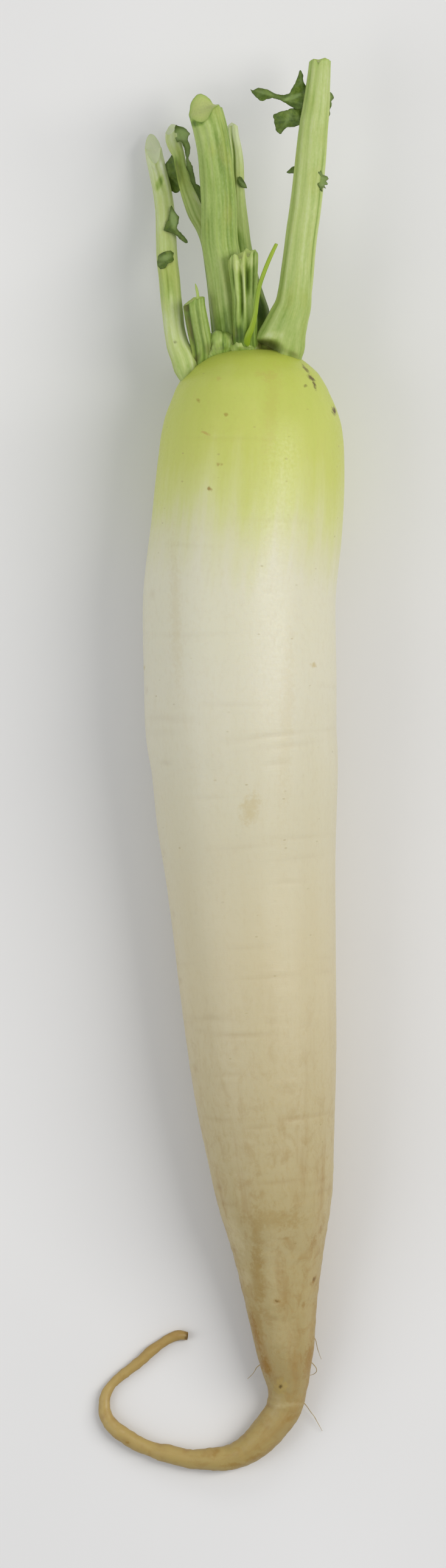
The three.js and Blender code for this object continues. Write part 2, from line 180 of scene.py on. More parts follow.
def blended(fac, a, b):
    # from colour a to colour b, each a socket or a plain colour
    made = node(fac.id_data, "ShaderNodeMix", {0: fac}, data_type="RGBA", clamp_factor=True)
    for socket, given in ((made.inputs[6], a), (made.inputs[7], b)):
        if isinstance(given, bpy.types.NodeSocket):
            fac.id_data.links.new(given, socket)
        else:
            socket.default_value = (*given, 1)
    return made.outputs[2]


def ramp(fac, stops):
    # stops: (place, colour) in order; the places are stretched to the ramp's 0 to 1
    first, last = stops[0][0], stops[-1][0]
    inputs = {"Value": fac, "From Min": first, "From Max": last}
    place = node(fac.id_data, "ShaderNodeMapRange", inputs).outputs[0]
    made = node(fac.id_data, "ShaderNodeValToRGB", {"Fac": place})
    elements = made.color_ramp.elements
    while len(elements) < len(stops):
        elements.new(0.5)
    for element, (at, colour) in zip(elements, stops):
        element.position = (at - first) / (last - first)
        element.color = (*colour, 1)
    return made.outputs["Color"]


def bumped(*layers):
    # layers: (height, strength, distance in mm), laid one over the other
    normal = None
    for height, strength, depth in layers:
        inputs = {"Height": height, "Strength": strength, "Distance": depth * mm, "Normal": normal}
        normal = node(height.id_data, "ShaderNodeBump", inputs).outputs["Normal"]
    return normal


def rgb(red, green, blue):
    # a colour as it looks on screen, 0 to 255, to the linear numbers that nodes hold
    return tuple(((c / 255 + 0.055) / 1.055) ** 2.4 for c in (red, green, blue))


def throughRows(rows, step):
    # a smooth line through rows of numbers, with a point every `step` mm along it
    rows = np.array(rows, float)
    ends = 2 * rows[[0, -1]] - rows[[1, -2]]
    rows = np.vstack([ends[:1], rows, ends[1:]])
    fine = []
    for p0, p1, p2, p3 in zip(rows, rows[1:], rows[2:], rows[3:]):
        gaps = (p1 - p0, p2 - p1, p3 - p2)
        d0, d1, d2 = (max(np.linalg.norm(gap), 1e-6) ** 0.5 for gap in gaps)
        m1 = ((p1 - p0) / d0 - (p2 - p0) / (d0 + d1) + (p2 - p1) / d1) * d1
        m2 = ((p2 - p1) / d1 - (p3 - p1) / (d1 + d2) + (p3 - p2) / d2) * d1
        t = np.linspace(0, 1, 40, endpoint=False)[:, None]
        fine.append(
            (2 * t**3 - 3 * t**2 + 1) * p1 + (t**3 - 2 * t**2 + t) * m1
            + (3 * t**2 - 2 * t**3) * p2 + (t**3 - t**2) * m2
        )
    fine = np.vstack(fine + [rows[-2:-1]])
    travelled = np.concatenate([[0], np.cumsum(np.linalg.norm(np.diff(fine, axis=0), axis=1))])
    count = max(4, round(travelled[-1] / step))
    places = np.linspace(0, travelled[-1], count)
    return np.stack([np.interp(places, travelled, column) for column in fine.T], axis=1)


def gridAlong(rows, step, sides):
    line = throughRows(rows, step)
    centre, half = line[:, :3], line[:, 3:5]
    along = np.gradient(centre, axis=0)
    along /= np.linalg.norm(along, axis=1, keepdims=True)
    across = np.cross(along, up)
    across /= np.linalg.norm(across, axis=1, keepdims=True)
    lift = np.cross(across, along)
    s = np.concatenate([[0], np.cumsum(np.linalg.norm(np.diff(centre, axis=0), axis=1))])
    angle = np.linspace(0, 2 * np.pi, sides, endpoint=False)
    return SimpleNamespace(
        centre=centre, half=half, along=along, across=across, lift=lift, length=s[-1],
        s=s[:, None] + 0 * angle, angle=angle + 0 * s[:, None],
        cos=np.cos(angle) + 0 * s[:, None], sin=np.sin(angle) + 0 * s[:, None],
    )


def placed(grid, u, v, push=0.0, slide=0.0):
    # u, v: the section in units of its half sizes; push: outward in mm; slide: along the line in mm
    size = np.hypot(u, v) + 1e-9
    du, dv = u * grid.half[:, :1] + push * u / size, v * grid.half[:, 1:] + push * v / size
    across, lift = du[..., None] * grid.across[:, None], dv[..., None] * grid.lift[:, None]
    return grid.centre[:, None] + across + lift + (slide + 0 * du)[..., None] * grid.along[:, None]


def lumps(points, size, seed=0):
    # smooth random lumps from -1 to 1, about `size` mm across (one number, or one for each axis)
    p = points / np.array(size, float) + 31.7 * seed + 100
    cell = np.floor(p).astype(np.int64)
    part = p - cell
    fade = part**3 * (part * (6 * part - 15) + 10)
    total = 0
    for corner in itertools.product((0, 1), repeat=3):
        key = (cell + np.array(corner)) @ np.array([73856093, 19349663, 83492791])
        key = (key ^ (key >> 13)) * 1274126177 & 0xFFFFFFFF
        key = (key ^ (key >> 15)) * 668265263 & 0xFFFFFFFF
        weight = np.prod(np.where(np.array(corner) == 1, fade, 1 - fade), axis=-1)
        total = total + weight * ((key >> 8 & 0xFFFF) / 32767.5 - 1)
    return total


def layered(points, size, seed=0, layers=3):
    return sum(lumps(points, np.array(size, float) / 2**i, seed + i) / 2**i for i in range(layers))


def bell(x, middle=0.0, width=1.0):
    return np.exp(-(((x - middle) / width) ** 2))


def smoothStep(x, low, high):
    t = np.clip((x - low) / (high - low), 0, 1)
    return t * t * (3 - 2 * t)


def turned(angle, middle):
    # the angle from `middle`, between -pi and pi
    return (angle - middle + np.pi) % (2 * np.pi) - np.pi


def makeMesh(name, points, faces, material, values):
    mesh = bpy.data.meshes.new(name)
    mesh.from_pydata((points * mm).tolist(), [], faces)
    for key, data in values.items():
        kind, field = ("FLOAT_VECTOR", "vector") if data.ndim == 2 else ("FLOAT", "value")
        attribute = mesh.attributes.new(key, kind, "POINT")
        attribute.data.foreach_set(field, np.ascontiguousarray(data, np.float32).ravel())
    mesh.shade_smooth()
    mesh.materials.append(material)
    piece = added(name, mesh)
    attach(piece, "root")
    return piece


def skinned(name, points, material, **values):
    # closes a grid of rings into one body, with a fan at each end
    rings, sides = points.shape[:2]
    ids = np.arange(rings * sides).reshape(rings, sides)
    after = np.roll(ids, -1, axis=1)
    faces = np.stack([ids[:-1], ids[1:], after[1:], after[:-1]], axis=-1).reshape(-1, 4).tolist()
    first, last = rings * sides, rings * sides + 1
    faces += [(a, b, first) for a, b in zip(ids[0].tolist(), after[0].tolist())]
    faces += [(b, a, last) for a, b in zip(ids[-1].tolist(), after[-1].tolist())]
    flat = np.vstack([points.reshape(-1, 3), points[0].mean(axis=0), points[-1].mean(axis=0)])
    held = {}
    for key, data in values.items():
        ends = [data[0].mean(axis=0), data[-1].mean(axis=0)]
        held[key] = np.concatenate([data.reshape(-1, *data.shape[2:]), np.array(ends)])
    return makeMesh(name, flat, faces, material, held)


rootSpec = {
    # from the crown to the tip of the tail: x, y, z of its middle and its radius, in mm
    "rows": [
        (8.2, 109.3, 25, 0.6), (8.2, 109.2, 25, 4.6), (8.2, 108.6, 25, 7.9), (8.2, 107.1, 25, 12),
        (8.2, 104.4, 25, 15.6), (8.2, 101.8, 25, 18.1), (8.15, 99.2, 25, 19.8), (8.1, 97, 25, 20.8),
        (8.05, 91.4, 24.95, 23), (8, 86.5, 24.9, 24), (7.8, 80.4, 24.9, 24.5), (7.4, 73.4, 24.9, 24.9),
        (6.5, 61.4, 24.8, 25.2), (5.2, 50, 24.9, 25.3), (4.7, 42.8, 24.9, 25.4), (5, 22.5, 24.9, 25.4),
        (5.2, 10, 24.7, 25.2), (6.1, 0.9, 24.2, 24.7), (6.7, -13.7, 23.3, 23.8), (7.6, -27, 22.4, 22.6),
        (8.7, -43, 21.8, 21.5), (9.9, -62.8, 21, 20.2), (11.3, -84, 19.6, 18.5),
        (12.9, -102.8, 17.6, 16.4), (13.9, -114.5, 16, 14.9), (14.8, -127.4, 13.1, 12),
        (15.7, -142.3, 10.3, 9.3), (16.8, -155.9, 7.9, 7.2), (17.3, -164.6, 5.6, 5.2),
        (16.1, -170, 4.7, 4.6), (13.4, -173.9, 4.35, 4.4), (10.2, -177.5, 4.1, 4.15),
        (6.3, -180.7, 3.7, 3.75), (1.8, -182.5, 3.25, 3.3), (-3.1, -182.9, 2.9, 2.95),
        (-7.9, -182.9, 2.45, 2.5), (-13.6, -181.6, 2.4, 2.45), (-18.4, -180.4, 2, 2.05),
        (-24.1, -177.7, 2, 2.05), (-28.6, -174.3, 1.9, 1.95), (-30.5, -171.8, 1.65, 1.7),
        (-31, -169, 1.45, 1.5), (-30.6, -166.2, 1.35, 1.4), (-28.9, -163.3, 1.25, 1.3),
        (-26.4, -161, 1.25, 1.3), (-23.9, -159, 1.3, 1.35), (-21.2, -156.9, 1.35, 1.4),
        (-18.8, -154.7, 1.35, 1.4), (-16, -152.6, 1.25, 1.3), (-13.8, -151.2, 1.25, 1.3),
        (-11.4, -150.3, 1.35, 1.4), (-9, -150.5, 1.05, 1.1),
    ],
    "sides": 128,
    "step": 0.62,
    "crownLength": 30,  # the crown's own length along the axis
    "lowerPart": (110, 240),  # where the rougher lower part begins and is fully rough, in mm
    "tailPart": (262, 285),
    "creases": 170,  # short wrinkles that run part of the way round
    "creaseStretch": (20, 365),  # where along the root they begin and how far they go on, in mm
    "rootlets": 34,  # pits where side roots grew
    "rootletStretch": (45, 300),
    "rootletRows": (3.55, 0.35),  # the angles of their two rows, one on each side
    "seed": 11,
}

# the skin's colour along the root, by mm from the crown; the first two stops are painted lighter, a
# painted highlight that makes up for the shade where the crown's top turns away from the light
rootColours = [
    (0, rgb(186, 196, 80)),
    (10, rgb(190, 199, 92)),
    (28, rgb(198, 203, 104)),
    (40, rgb(206, 209, 132)),
    (50, rgb(214, 212, 166)),
    (62, rgb(219, 215, 188)),
    (90, rgb(217, 212, 188)),
    (120, rgb(211, 204, 175)),
    (165, rgb(206, 194, 158)),
    (222, rgb(186, 170, 124)),
    (250, rgb(180, 162, 112)),
    (272, rgb(168, 149, 98)),
    (300, rgb(172, 150, 88)),
    (345, rgb(180, 155, 92)),
    (370, rgb(166, 138, 76)),
    (381, rgb(142, 112, 58)),
    (386, rgb(88, 64, 32)),
]


def rootShape():
    spec = rootSpec
    rows = [(*row, row[3]) for row in spec["rows"]]  # as high as it is wide
    grid = gridAlong(rows, spec["step"], spec["sides"])
    radius = grid.half[:, :1]
    # how far the skin itself runs, which over the crown is further than its axis does
    skinRun = np.cumsum(np.hypot(np.gradient(grid.s[:, 0]), np.gradient(radius[:, 0])))
    skinRun += spec["crownLength"] - np.interp(spec["crownLength"], grid.s[:, 0], skinRun)
    straight = np.stack([grid.cos * radius, grid.sin * radius, skinRun[:, None] + 0 * grid.s], axis=-1)
    crown = 0.3 + 0.7 * smoothStep(grid.s, 2, 14)
    lower = smoothStep(grid.s, *spec["lowerPart"])
    tail = smoothStep(grid.s, *spec["tailPart"])
    push = 0.35 * lumps(straight, (30, 30, 60), 1) * (1 - tail) * crown
    push += 0.10 * lumps(straight, (9, 9, 22), 2) * (1 - tail) * crown
    push += 0.16 * layered(straight, (7, 7, 60), 3) * lower * (1 - tail)  # long shallow furrows
    push += 0.07 * layered(straight, (9, 9, 1.6), 4) * lower  # fine rings
    push += tail * (0.12 * lumps(straight, (3, 3, 4), 5) + 0.08 * layered(straight, (5, 5, 1.1), 6))
    groove = np.zeros_like(push)
    chance = random.Random(spec["seed"])
    first, span = spec["creaseStretch"]
    for _ in range(spec["creases"]):
        at = first + span * chance.random() ** 0.6
        middle = chance.uniform(0, 2 * math.pi)
        reach = chance.uniform(0.12, 0.5)
        tilt = chance.uniform(-1.0, 1.0)
        near = slice(*np.searchsorted(grid.s[:, 0], (at - 5, at + 5)))
        side = turned(grid.angle[near], middle)
        dent = bell(grid.s[near], at + tilt * side, 0.55) * bell(side, 0, reach)
        push[near] -= chance.uniform(0.04, 0.13) * dent * min(1, grid.half[near, 0].mean() / 8)
        groove[near] += 0.5 * dent
    first, span = spec["rootletStretch"]
    for i in range(spec["rootlets"]):
        at = first + span * (i / spec["rootlets"]) ** 0.8 + chance.uniform(-4, 4)
        middle = spec["rootletRows"][i % 2] + chance.uniform(-0.25, 0.25)
        near = slice(*np.searchsorted(grid.s[:, 0], (at - 7, at + 7)))
        size = grid.half[near, 0].mean()
        side = turned(grid.angle[near], middle) * size
        dent = bell(grid.s[near], at, 0.9) * bell(side, 0, 1.7)
        lip = bell(grid.s[near], at, 2.2) * bell(side, 0, 3.0)
        push[near] += min(1, size / 9) * (0.16 * lip - 0.34 * dent)
        groove[near] += dent
    points = placed(grid, grid.cos, grid.sin, push)
    points[..., 2] = np.maximum(points[..., 2], 0)
    return grid, points, straight, np.clip(groove, 0, 1)


rootMarks = {
    # (x, y, half length, half width, turn in degrees, strength), seen from above, in mm
    "tan": [
        (12.8, 101.8, 2.2, 1.8, 20, 0.28), (10.4, 102.4, 1.8, 1.2, 0, 0.22),
        (-0.7, 101.2, 0.8, 0.6, 0, 0.35), (-4.4, 86.9, 1.5, 0.4, -25, 0.7), (24.1, 26.3, 0.9, 0.8, 0, 0.5),
        (-20.4, 25.7, 0.9, 0.7, 0, 0.5), (7.3, -11.3, 4.5, 2.6, 70, 0.3),
        (15.6, -163.4, 2.2, 1.7, 70, 0.6), (13, 93, 14, 2.2, 84, 0.16), (17, 10, 26, 2, 88, 0.12),
        (-12, 40, 22, 1.6, 92, 0.14),
    ],
    "band": [
        (9.2, -122, 8, 1.9, -88, 0.45), (9.4, -134, 13, 2, -89, 0.6), (9.3, -146, 7, 1.5, -80, 0.55),
        (13.6, -119, 9, 2.6, 0, 0.4),
    ],
    "pale": [
        (3.8, -123.4, 6, 1.8, -72, 0.4), (6.2, -134.6, 2.8, 1.9, -60, 0.35),
        (13.8, -131, 12, 2.4, -88, 0.2), (17.5, -168.4, 4.4, 0.8, 4, 0.24), (16.8, -150, 6, 3.2, -85, 0.2),
    ],
    "brown": [
        (24.2, -135.3, 1.6, 0.6, 65, 0.8), (21.5, -142, 1.1, 0.5, 80, 0.5),
        (24.2, -125.4, 2.4, 0.8, 75, 0.4), (26, -121.6, 2.2, 0.6, 80, 0.4),
        (8.9, -149.2, 6.4, 0.8, -76, 0.8), (11.5, -157.8, 3.2, 1.2, -72, 0.9),
        (22.9, -156.5, 5, 1.3, 80, 0.55), (14.5, -140.7, 0.9, 0.6, 0, 0.7),
        (16.3, -124.1, 1.8, 0.5, 8, 0.35), (-24.8, -178.5, 0.8, 0.6, 0, 0.7),
        (18.6, -171.8, 2.4, 0.7, 30, 0.4), (-1.4, -181, 1.4, 0.9, 60, 0.45),
        (8.6, -182.4, 3.2, 0.8, 25, 0.5), (3.4, -184.4, 3, 0.7, 5, 0.5), (-6, 95.4, 0.7, 0.6, 0, 0.5),
        (-3.1, 72.2, 0.7, 0.55, 0, 0.8), (1.1, 91.6, 0.6, 0.5, 0, 0.5), (-1, 78.6, 0.5, 0.4, 0, 0.5),
        (0.1, 78.6, 0.5, 0.4, 0, 0.4),
    ],
    "dark": [
        (29.5, 93, 1.3, 0.85, 80, 1), (21.9, 99.3, 0.55, 0.45, 0, 0.5), (22.2, 103.6, 2, 0.45, -52, 0.7),
        (23.5, 101.4, 1.6, 0.55, -48, 0.9), (24.3, 99.7, 1.5, 0.4, -70, 0.9),
        (15.6, -163.4, 0.8, 0.6, 60, 0.8), (14.5, -140.7, 0.5, 0.4, 0, 0.6),
        (24.3, -135, 0.7, 0.35, 60, 0.5), (-8.6, -150.5, 1.3, 1.7, 0, 0.75),
    ],
}

markPaints = {
    "tan": rgb(186, 160, 82),
    "band": rgb(158, 128, 60),
    "pale": rgb(204, 190, 146),
    "brown": rgb(148, 108, 26),
    "dark": rgb(84, 58, 8),
}


def marksOn(place, marks, ripple):
    # ovals on the upper side of the root, with edges that a fine noise makes uneven
    line = throughRows(rootSpec["rows"], 1.0)
    mask = None
    for x, y, a, b, turn, strength in marks:
        away = np.hypot(line[:, 0] - x, line[:, 1] - y)
        nearest = line[np.argmin(away)]
        z = nearest[2] + math.sqrt(max(nearest[3] ** 2 - away.min() ** 2, 0))
        inputs = {
            "Vector": place, "Location": Vector((x, y, z)) * mm, "Rotation": (0, 0, math.radians(turn)),
            "Scale": Vector((a, b, 1.6 * max(a, b) + 1.0)) * mm,
        }
        local = node(place.id_data, "ShaderNodeMapping", inputs, vector_type="TEXTURE").outputs[0]
        away = node(place.id_data, "ShaderNodeVectorMath", {0: local}, operation="LENGTH")
        reach = maths("ADD", away.outputs["Value"], ripple)
        oval = between(reach, 0.2, 1.3, strength, 0.0)
        mask = oval if mask is None else maths("MAXIMUM", mask, oval)
    return mask


def rootMaterial():
    material, tree, skin = startMaterial("radishSkin", {
        "Roughness": 0.42, "Subsurface Weight": 0.18, "Subsurface Radius": (1.0, 0.8, 0.45),
        "Subsurface Scale": 0.004, "Specular IOR Level": 0.45,
    })
    straight, groove, flank = fromMesh(tree, "straight", "groove", "flank")
    place = node(tree, "ShaderNodeTexCoord").outputs["Object"]
    s = node(tree, "ShaderNodeSeparateXYZ", {0: straight}).outputs["Z"]
    streaky = cloud(straight, (0.22, 0.22, 0.02), 4, 0.6)
    patchy = cloud(straight, (0.05, 0.05, 0.035), 3, 0.55)
    moved = timesPlus(streaky, 26.0, s)
    moved = timesPlus(patchy, 18.0, moved)
    moved = maths("SUBTRACT", moved, 22.0)
    colour = ramp(moved, rootColours)
    # browner stripes, blotches and dust that grow toward the tail
    lower = between(s, 150.0, 250.0)
    stripes = cloud(straight, (0.16, 0.16, 0.012), 5, 0.62)
    stripes = times(between(stripes, 0.52, 0.72), times(lower, 0.55))
    colour = blended(stripes, colour, rgb(160, 126, 68))
    blotchy = cloud(straight, (0.28, 0.28, 0.2), 5, 0.68, 0.6)
    blotches = times(between(blotchy, 0.48, 0.68), times(lower, 0.42))
    colour = blended(blotches, colour, rgb(158, 124, 62))
    colour = blended(times(flank, blotchy), colour, rgb(146, 114, 36))
    dust = cloud(straight, (0.9, 0.9, 0.5), 4, 0.65)
    dust = times(between(dust, 0.45, 0.75), timesPlus(lower, 0.3, 0.08))
    colour = blended(dust, colour, rgb(176, 150, 92))
    creased = times(groove, timesPlus(lower, 0.4, 0.12))
    colour = blended(creased, colour, rgb(150, 116, 60))
    # pores: small pale or brown dots, drawn out round the root
    drawnOut = stretched(straight, (0.22, 0.22, 0.42))
    pores = node(tree, "ShaderNodeTexVoronoi", {"Vector": drawnOut, "Scale": 1})
    dot = between(pores.outputs["Distance"], 0.05, 0.13, 1.0, 0.0)
    chosen = node(tree, "ShaderNodeSeparateXYZ", {0: pores.outputs["Color"]}).outputs["X"]
    dot = times(dot, between(chosen, 0.55, 0.95))
    colour = blended(times(dot, 0.4), colour, rgb(158, 140, 84))
    grain = cloud(straight, (1.6, 1.6, 1.2), 4, 0.6)
    ripple = between(cloud(place, 900.0, 5, 0.65), 0.3, 0.7, -0.4, 0.4)
    for kind, paint in markPaints.items():
        colour = blended(marksOn(place, rootMarks[kind], ripple), colour, paint)
    wrinkles = cloud(straight, (0.35, 0.35, 1.7), 4, 0.6)
    roughness = between(grain, 0.3, 0.7, 0.36, 0.52)
    normal = bumped((wrinkles, 0.3, 0.1), (grain, 0.3, 0.08), (dot, 0.25, 0.1))
    wire(skin, colour=colour, roughness=roughness, normal=normal)
    return material


def makeRoot():
    grid, points, straight, groove = rootShape()
    # the flanks brown toward the tail
    flank = smoothStep(np.abs(grid.cos), 0.7, 1.0) * smoothStep(grid.s, 215, 270) * 0.9
    piece = skinned("radishRoot", points, rootMaterial(), straight=straight, groove=groove, flank=flank)
    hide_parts("root")
    print("root:", len(piece.data.polygons), "faces, line", round(grid.length), "mm")


def marked(points, marks):
    # soft ovals seen from above: (x, y, half length, half width, turn in degrees, strength), in mm
    total = np.zeros(points.shape[:-1])
    for x, y, a, b, turn, strength in marks:
        c, n = math.cos(math.radians(turn)), math.sin(math.radians(turn))
        dx, dy = points[..., 0] - x, points[..., 1] - y
        reach = np.hypot((dx * c + dy * n) / a, (dy * c - dx * n) / b)
        total += strength * (1 - smoothStep(reach, 0.4, 1.1))
    return total


# the rings of a cut face: their share of the rim's size and of the depth it is sunk to
cutRings = ((0.975, -0.03), (0.93, 0.05), (0.86, 0.4), (0.72, 0.75), (0.52, 0.95), (0.3, 1), (0.12, 1))


def withCutEnd(points, sunk, values):
    # closes the far end of a stalk with a face of rings, sunk a little inside its rim
    rim = points[-1]
    middle = rim.mean(axis=0)
    inward = points[-3].mean(axis=0) - middle
    inward /= np.linalg.norm(inward)
    rings, cut = [], []
    for share, depth in cutRings:
        # toward the middle the rings lose the rim's nicks
        reach = round(0.25 * len(rim) * (1 - share))
        even = sum(np.roll(rim, k, axis=0) for k in range(-reach, reach + 1)) / (2 * reach + 1)
        growth = np.linalg.norm(rim - middle) / max(np.linalg.norm(even - middle), 1e-6)
        even = middle + (even - middle) * growth
        ring = middle + (even - middle) * share + inward * depth * sunk
        ring = ring + inward * (0.14 * layered(ring, 0.9, 3) * (1 - share))[:, None]
        rings.append(ring)
        cut.append(np.full(len(rim), 1 - share))
    held = {"cut": np.vstack([np.zeros(points.shape[:2]), np.array(cut)])}
    for key, data in values.items():
        extra = np.array(rings) if key == "straight" else np.repeat(data[-1:], len(rings), axis=0)
        held[key] = np.concatenate([data, extra])
    return np.concatenate([points, np.array(rings)]), held


usualStalk = {
    # for every stalk whose own dictionary doesn't say otherwise, in mm
    "step": 0.45,
    "sides": 80,
    "channel": (0, -1),  # its hollow side, as x and z
    "hollow": 0.35,  # how hollow, as a share of its half size
    "furrows": (), "shades": (), "stainsAndShade": (), "dents": (),
    "cut": {"over": [(0, 0)], "under": [(0, 0)]},
    "reach": 12,  # how much of its end the cut draws out
    "rim": 0.12,  # how much darker the edge of the cut is
    "sunk": 0.4,  # how far the cut face is sunk inside its rim
}


def stalkPoints(spec):
    spec = {**usualStalk, **spec}
    grid = gridAlong(spec["rows"], spec["step"], spec["sides"])
    seed = spec["seed"]
    cx, cz = spec["channel"]
    u, v = grid.cos.copy(), grid.sin.copy()
    hollow = spec["hollow"] * np.maximum(0, u * cx + v * cz) ** 3
    u, v = u - hollow * cx, v - hollow * cz
    radius = grid.half.mean(axis=1)[:, None]
    straight = np.stack([grid.cos * radius, grid.sin * radius, grid.s + 40 * seed], axis=-1)
    drift = 0.25 * lumps(np.stack([0 * grid.s, 0 * grid.s, grid.s], axis=-1), 22, seed)
    strength = 0.65 + 0.5 * lumps(np.stack([grid.cos, grid.sin, grid.s / 30], axis=-1), 0.6, seed + 1)
    rib = np.cos(spec["ribs"] * (grid.angle + drift)) * strength
    push = spec["ribDepth"] * rib + 0.12 * lumps(straight, (4, 4, 16), seed + 2)
    push += 0.035 * layered(straight, (0.9, 0.9, 7), seed + 3)
    groove = 0.5 - 0.5 * rib
    for angle, width, depth, first, last in spec["furrows"]:
        side = turned(grid.angle + 0.3 * drift, math.radians(angle)) * radius
        ends = smoothStep(grid.s, first - 2, first + 3) * (1 - smoothStep(grid.s, last - 3, last + 2))
        dent = bell(side, 0, width) * ends
        push -= depth * dent
        groove += (2.2 if depth > 0 else -1.2) * min(1, abs(depth) / 0.5) * dent
    over, under = (np.interp(grid.cos, *zip(*spec["cut"][side])) for side in ("over", "under"))
    trim = over + (under - over) * (0.5 - 0.5 * grid.sin)
    left = grid.length - grid.s
    slide = trim * np.maximum(0, 1 - left / spec["reach"]) ** 1.3
    points = placed(grid, u, v, push, slide)
    tone = np.interp(grid.s, *zip(*spec["tone"])) + marked(points, spec["shades"])
    tone += spec["rim"] * np.exp(-left / 0.9)
    stainAndShade = marked(points, spec["stainsAndShade"])
    for x, y, a, b, turn, depth in spec["dents"]:
        points[..., 2] -= marked(points, [(x, y, a, b, turn, depth)]) * smoothStep(grid.sin, 0.0, 0.5)
    straight[..., 2] += slide
    groove, stainAndShade = np.clip(groove, -0.6, 2.4), np.clip(stainAndShade, 0, 1)
    return points, {"straight": straight, "tone": tone, "groove": groove, "stainAndShade": stainAndShade}


def makeStalk(name, nodeName, spec, material):
    points, values = stalkPoints(spec)
    points, values = withCutEnd(points, spec.get("sunk", usualStalk["sunk"]), values)
    piece = skinned(name, points, material, **values)
    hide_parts(nodeName)
    print(name + ":", len(piece.data.polygons), "faces")


cutTones = [
    (0.0, rgb(142, 164, 80)),
    (0.12, rgb(168, 184, 100)),
    (0.3, rgb(180, 191, 112)),
    (1.0, rgb(184, 193, 120)),
]

# from the palest green to the darkest
stalkTones = [
    (-0.3, rgb(210, 215, 184)),
    (0.0, rgb(196, 206, 150)),
    (0.25, rgb(180, 194, 118)),
    (0.5, rgb(156, 177, 92)),
    (0.75, rgb(124, 150, 60)),
    (1.0, rgb(88, 114, 36)),
    (1.3, rgb(54, 76, 22)),
]


def stalkMaterial():
    material, tree, skin = startMaterial("stalkSkin", {
        "Roughness": 0.45, "Subsurface Weight": 0.15, "Subsurface Radius": (0.6, 1.0, 0.3),
        "Subsurface Scale": 0.002, "Specular IOR Level": 0.35,
    })
    straight, tone, groove = fromMesh(tree, "straight", "tone", "groove")
    cut, stainAndShade = fromMesh(tree, "cut", "stainAndShade")
    fibre = cloud(straight, (1.5, 1.5, 0.05), 4, 0.6)
    patch = cloud(straight, (0.22, 0.22, 0.08), 3, 0.55)
    speck = cloud(straight, (2.2, 2.2, 1.1), 3, 0.55)
    depth = timesPlus(fibre, 0.6, tone)
    depth = timesPlus(patch, 0.45, depth)
    depth = timesPlus(speck, 0.22, depth)
    depth = timesPlus(groove, 0.2, depth)
    depth = maths("SUBTRACT", depth, 0.7)
    colour = ramp(depth, stalkTones)
    yellowed = between(patch, 0.5, 0.75)
    colour = blended(times(yellowed, 0.3), colour, rgb(190, 190, 96))
    # brown from the stain marks, some of which are painted shade in the hollow by the right stalk's foot
    brown = times(stainAndShade, between(patch, 0.2, 0.6, 0.7, 1.0))
    colour = blended(brown, colour, rgb(84, 80, 32))
    # the cut face: a green rim, then flesh that pales toward the middle, with faint bundles of fibre
    flesh = ramp(cut, cutTones)
    place = node(tree, "ShaderNodeTexCoord").outputs["Object"]
    cells = node(tree, "ShaderNodeTexVoronoi", {"Vector": place, "Scale": 1500})
    bundle = between(cells.outputs["Distance"], 0.45, 0.1)
    flesh = blended(times(bundle, 0.14), flesh, rgb(140, 158, 84))
    flesh = blended(between(speck, 0.45, 0.8, 0.0, 0.35), flesh, rgb(150, 160, 96))
    flesh = blended(between(tone, 0.05, 0.4, 0.75, 0.0), flesh, rgb(210, 216, 184))
    colour = blended(between(cut, 0.02, 0.08), colour, flesh)
    roughness = between(speck, 0.3, 0.7, 0.42, 0.58)
    normal = bumped((fibre, 0.4, 0.16), (speck, 0.3, 0.08))
    wire(skin, colour=colour, roughness=roughness, normal=normal)
    return material


# The rows of a stalk run from its foot to its cut end: x, y, z, half width and half height, in mm.
# "tone" is how dark it is, by mm along it, from 0 (pale) to 1.
# Furrows: degrees round from the right, width, depth (a ridge where negative), first and last mm.
# "cut": how many mm further its end runs, from its left (-1) to its right (1), over and under.
# Shades (darker where positive), brown stains (some of them painted shade) and dents are ovals, as in
# marked.
rightStalk = {
    "rows": [
        (14, 102.6, 23.6, 4.6, 3), (14.6, 106, 27, 6, 3.4), (15, 109.2, 29, 6.6, 3.5),
        (15.6, 111.4, 30.1, 6.5, 3.6), (16.5, 114.2, 31.1, 5.8, 3.6), (17.5, 117, 31.9, 5.3, 3.6),
        (18.7, 120.4, 32.4, 4.8, 3.6), (19.3, 124.7, 32.9, 4.4, 3.6), (19.8, 129.2, 33.2, 4.25, 3.5),
        (20.3, 134, 33.4, 4.1, 3.4), (20.9, 139.4, 33.4, 4.1, 3.4), (21.8, 145.5, 33, 4.1, 3.3),
        (22.7, 153.2, 32.2, 4, 3.2), (23.5, 161.2, 31.4, 3.9, 3.1), (24.1, 167.6, 30.6, 3.7, 2.9),
        (24.8, 174, 30.2, 3.35, 2.7), (25.4, 180.4, 29.9, 3, 2.5), (25.7, 184.6, 29.8, 2.8, 2.4),
    ],
    "seed": 3, "ribs": 9, "ribDepth": 0.09,
    "tone": [(0, 0.5), (8, 0.4), (26, 0.32), (38, 0.26), (60, 0.26), (80, 0.28)],
    "furrows": [
        (24, 0.35, 0.3, 28, 62), (8, 0.5, -0.22, 25, 78), (150, 0.6, 0.12, 8, 60), (70, 0.5, -0.1, 10, 70),
    ],
    "shades": [
        (22.6, 176, 9, 0.9, 86, 0.12), (16.8, 118, 8, 1.2, 70, 0.12), (13.4, 112.6, 3.6, 1.3, 10, -0.25),
    ],
    "cut": {
        "over": [
            (-1, -0.6), (-0.8, 0.1), (-0.5, 0.3), (-0.25, -0.2), (-0.12, -1.5), (0, -0.2), (0.3, 0.5),
            (0.8, 0.6), (1, 0.2),
        ],
        "under": [(-1, -0.4), (-0.6, 0.7), (-0.1, 0.5), (0.5, 1.2), (1, 0.4)],
    },
    "stainsAndShade": [
        # (11.6, 110.3) is painted shade: a dark patch over the hollow between this stalk's foot and the
        # crown
        (11.6, 110.3, 4.2, 1.8, -6, 0.75), (17.8, 108.2, 2.6, 0.8, -24, 0.25),
        (19, 107.4, 2, 1.3, -35, 0.25),
    ],
    "dents": [(11.7, 109.5, 4.6, 2.3, -6, 4.4)],
}

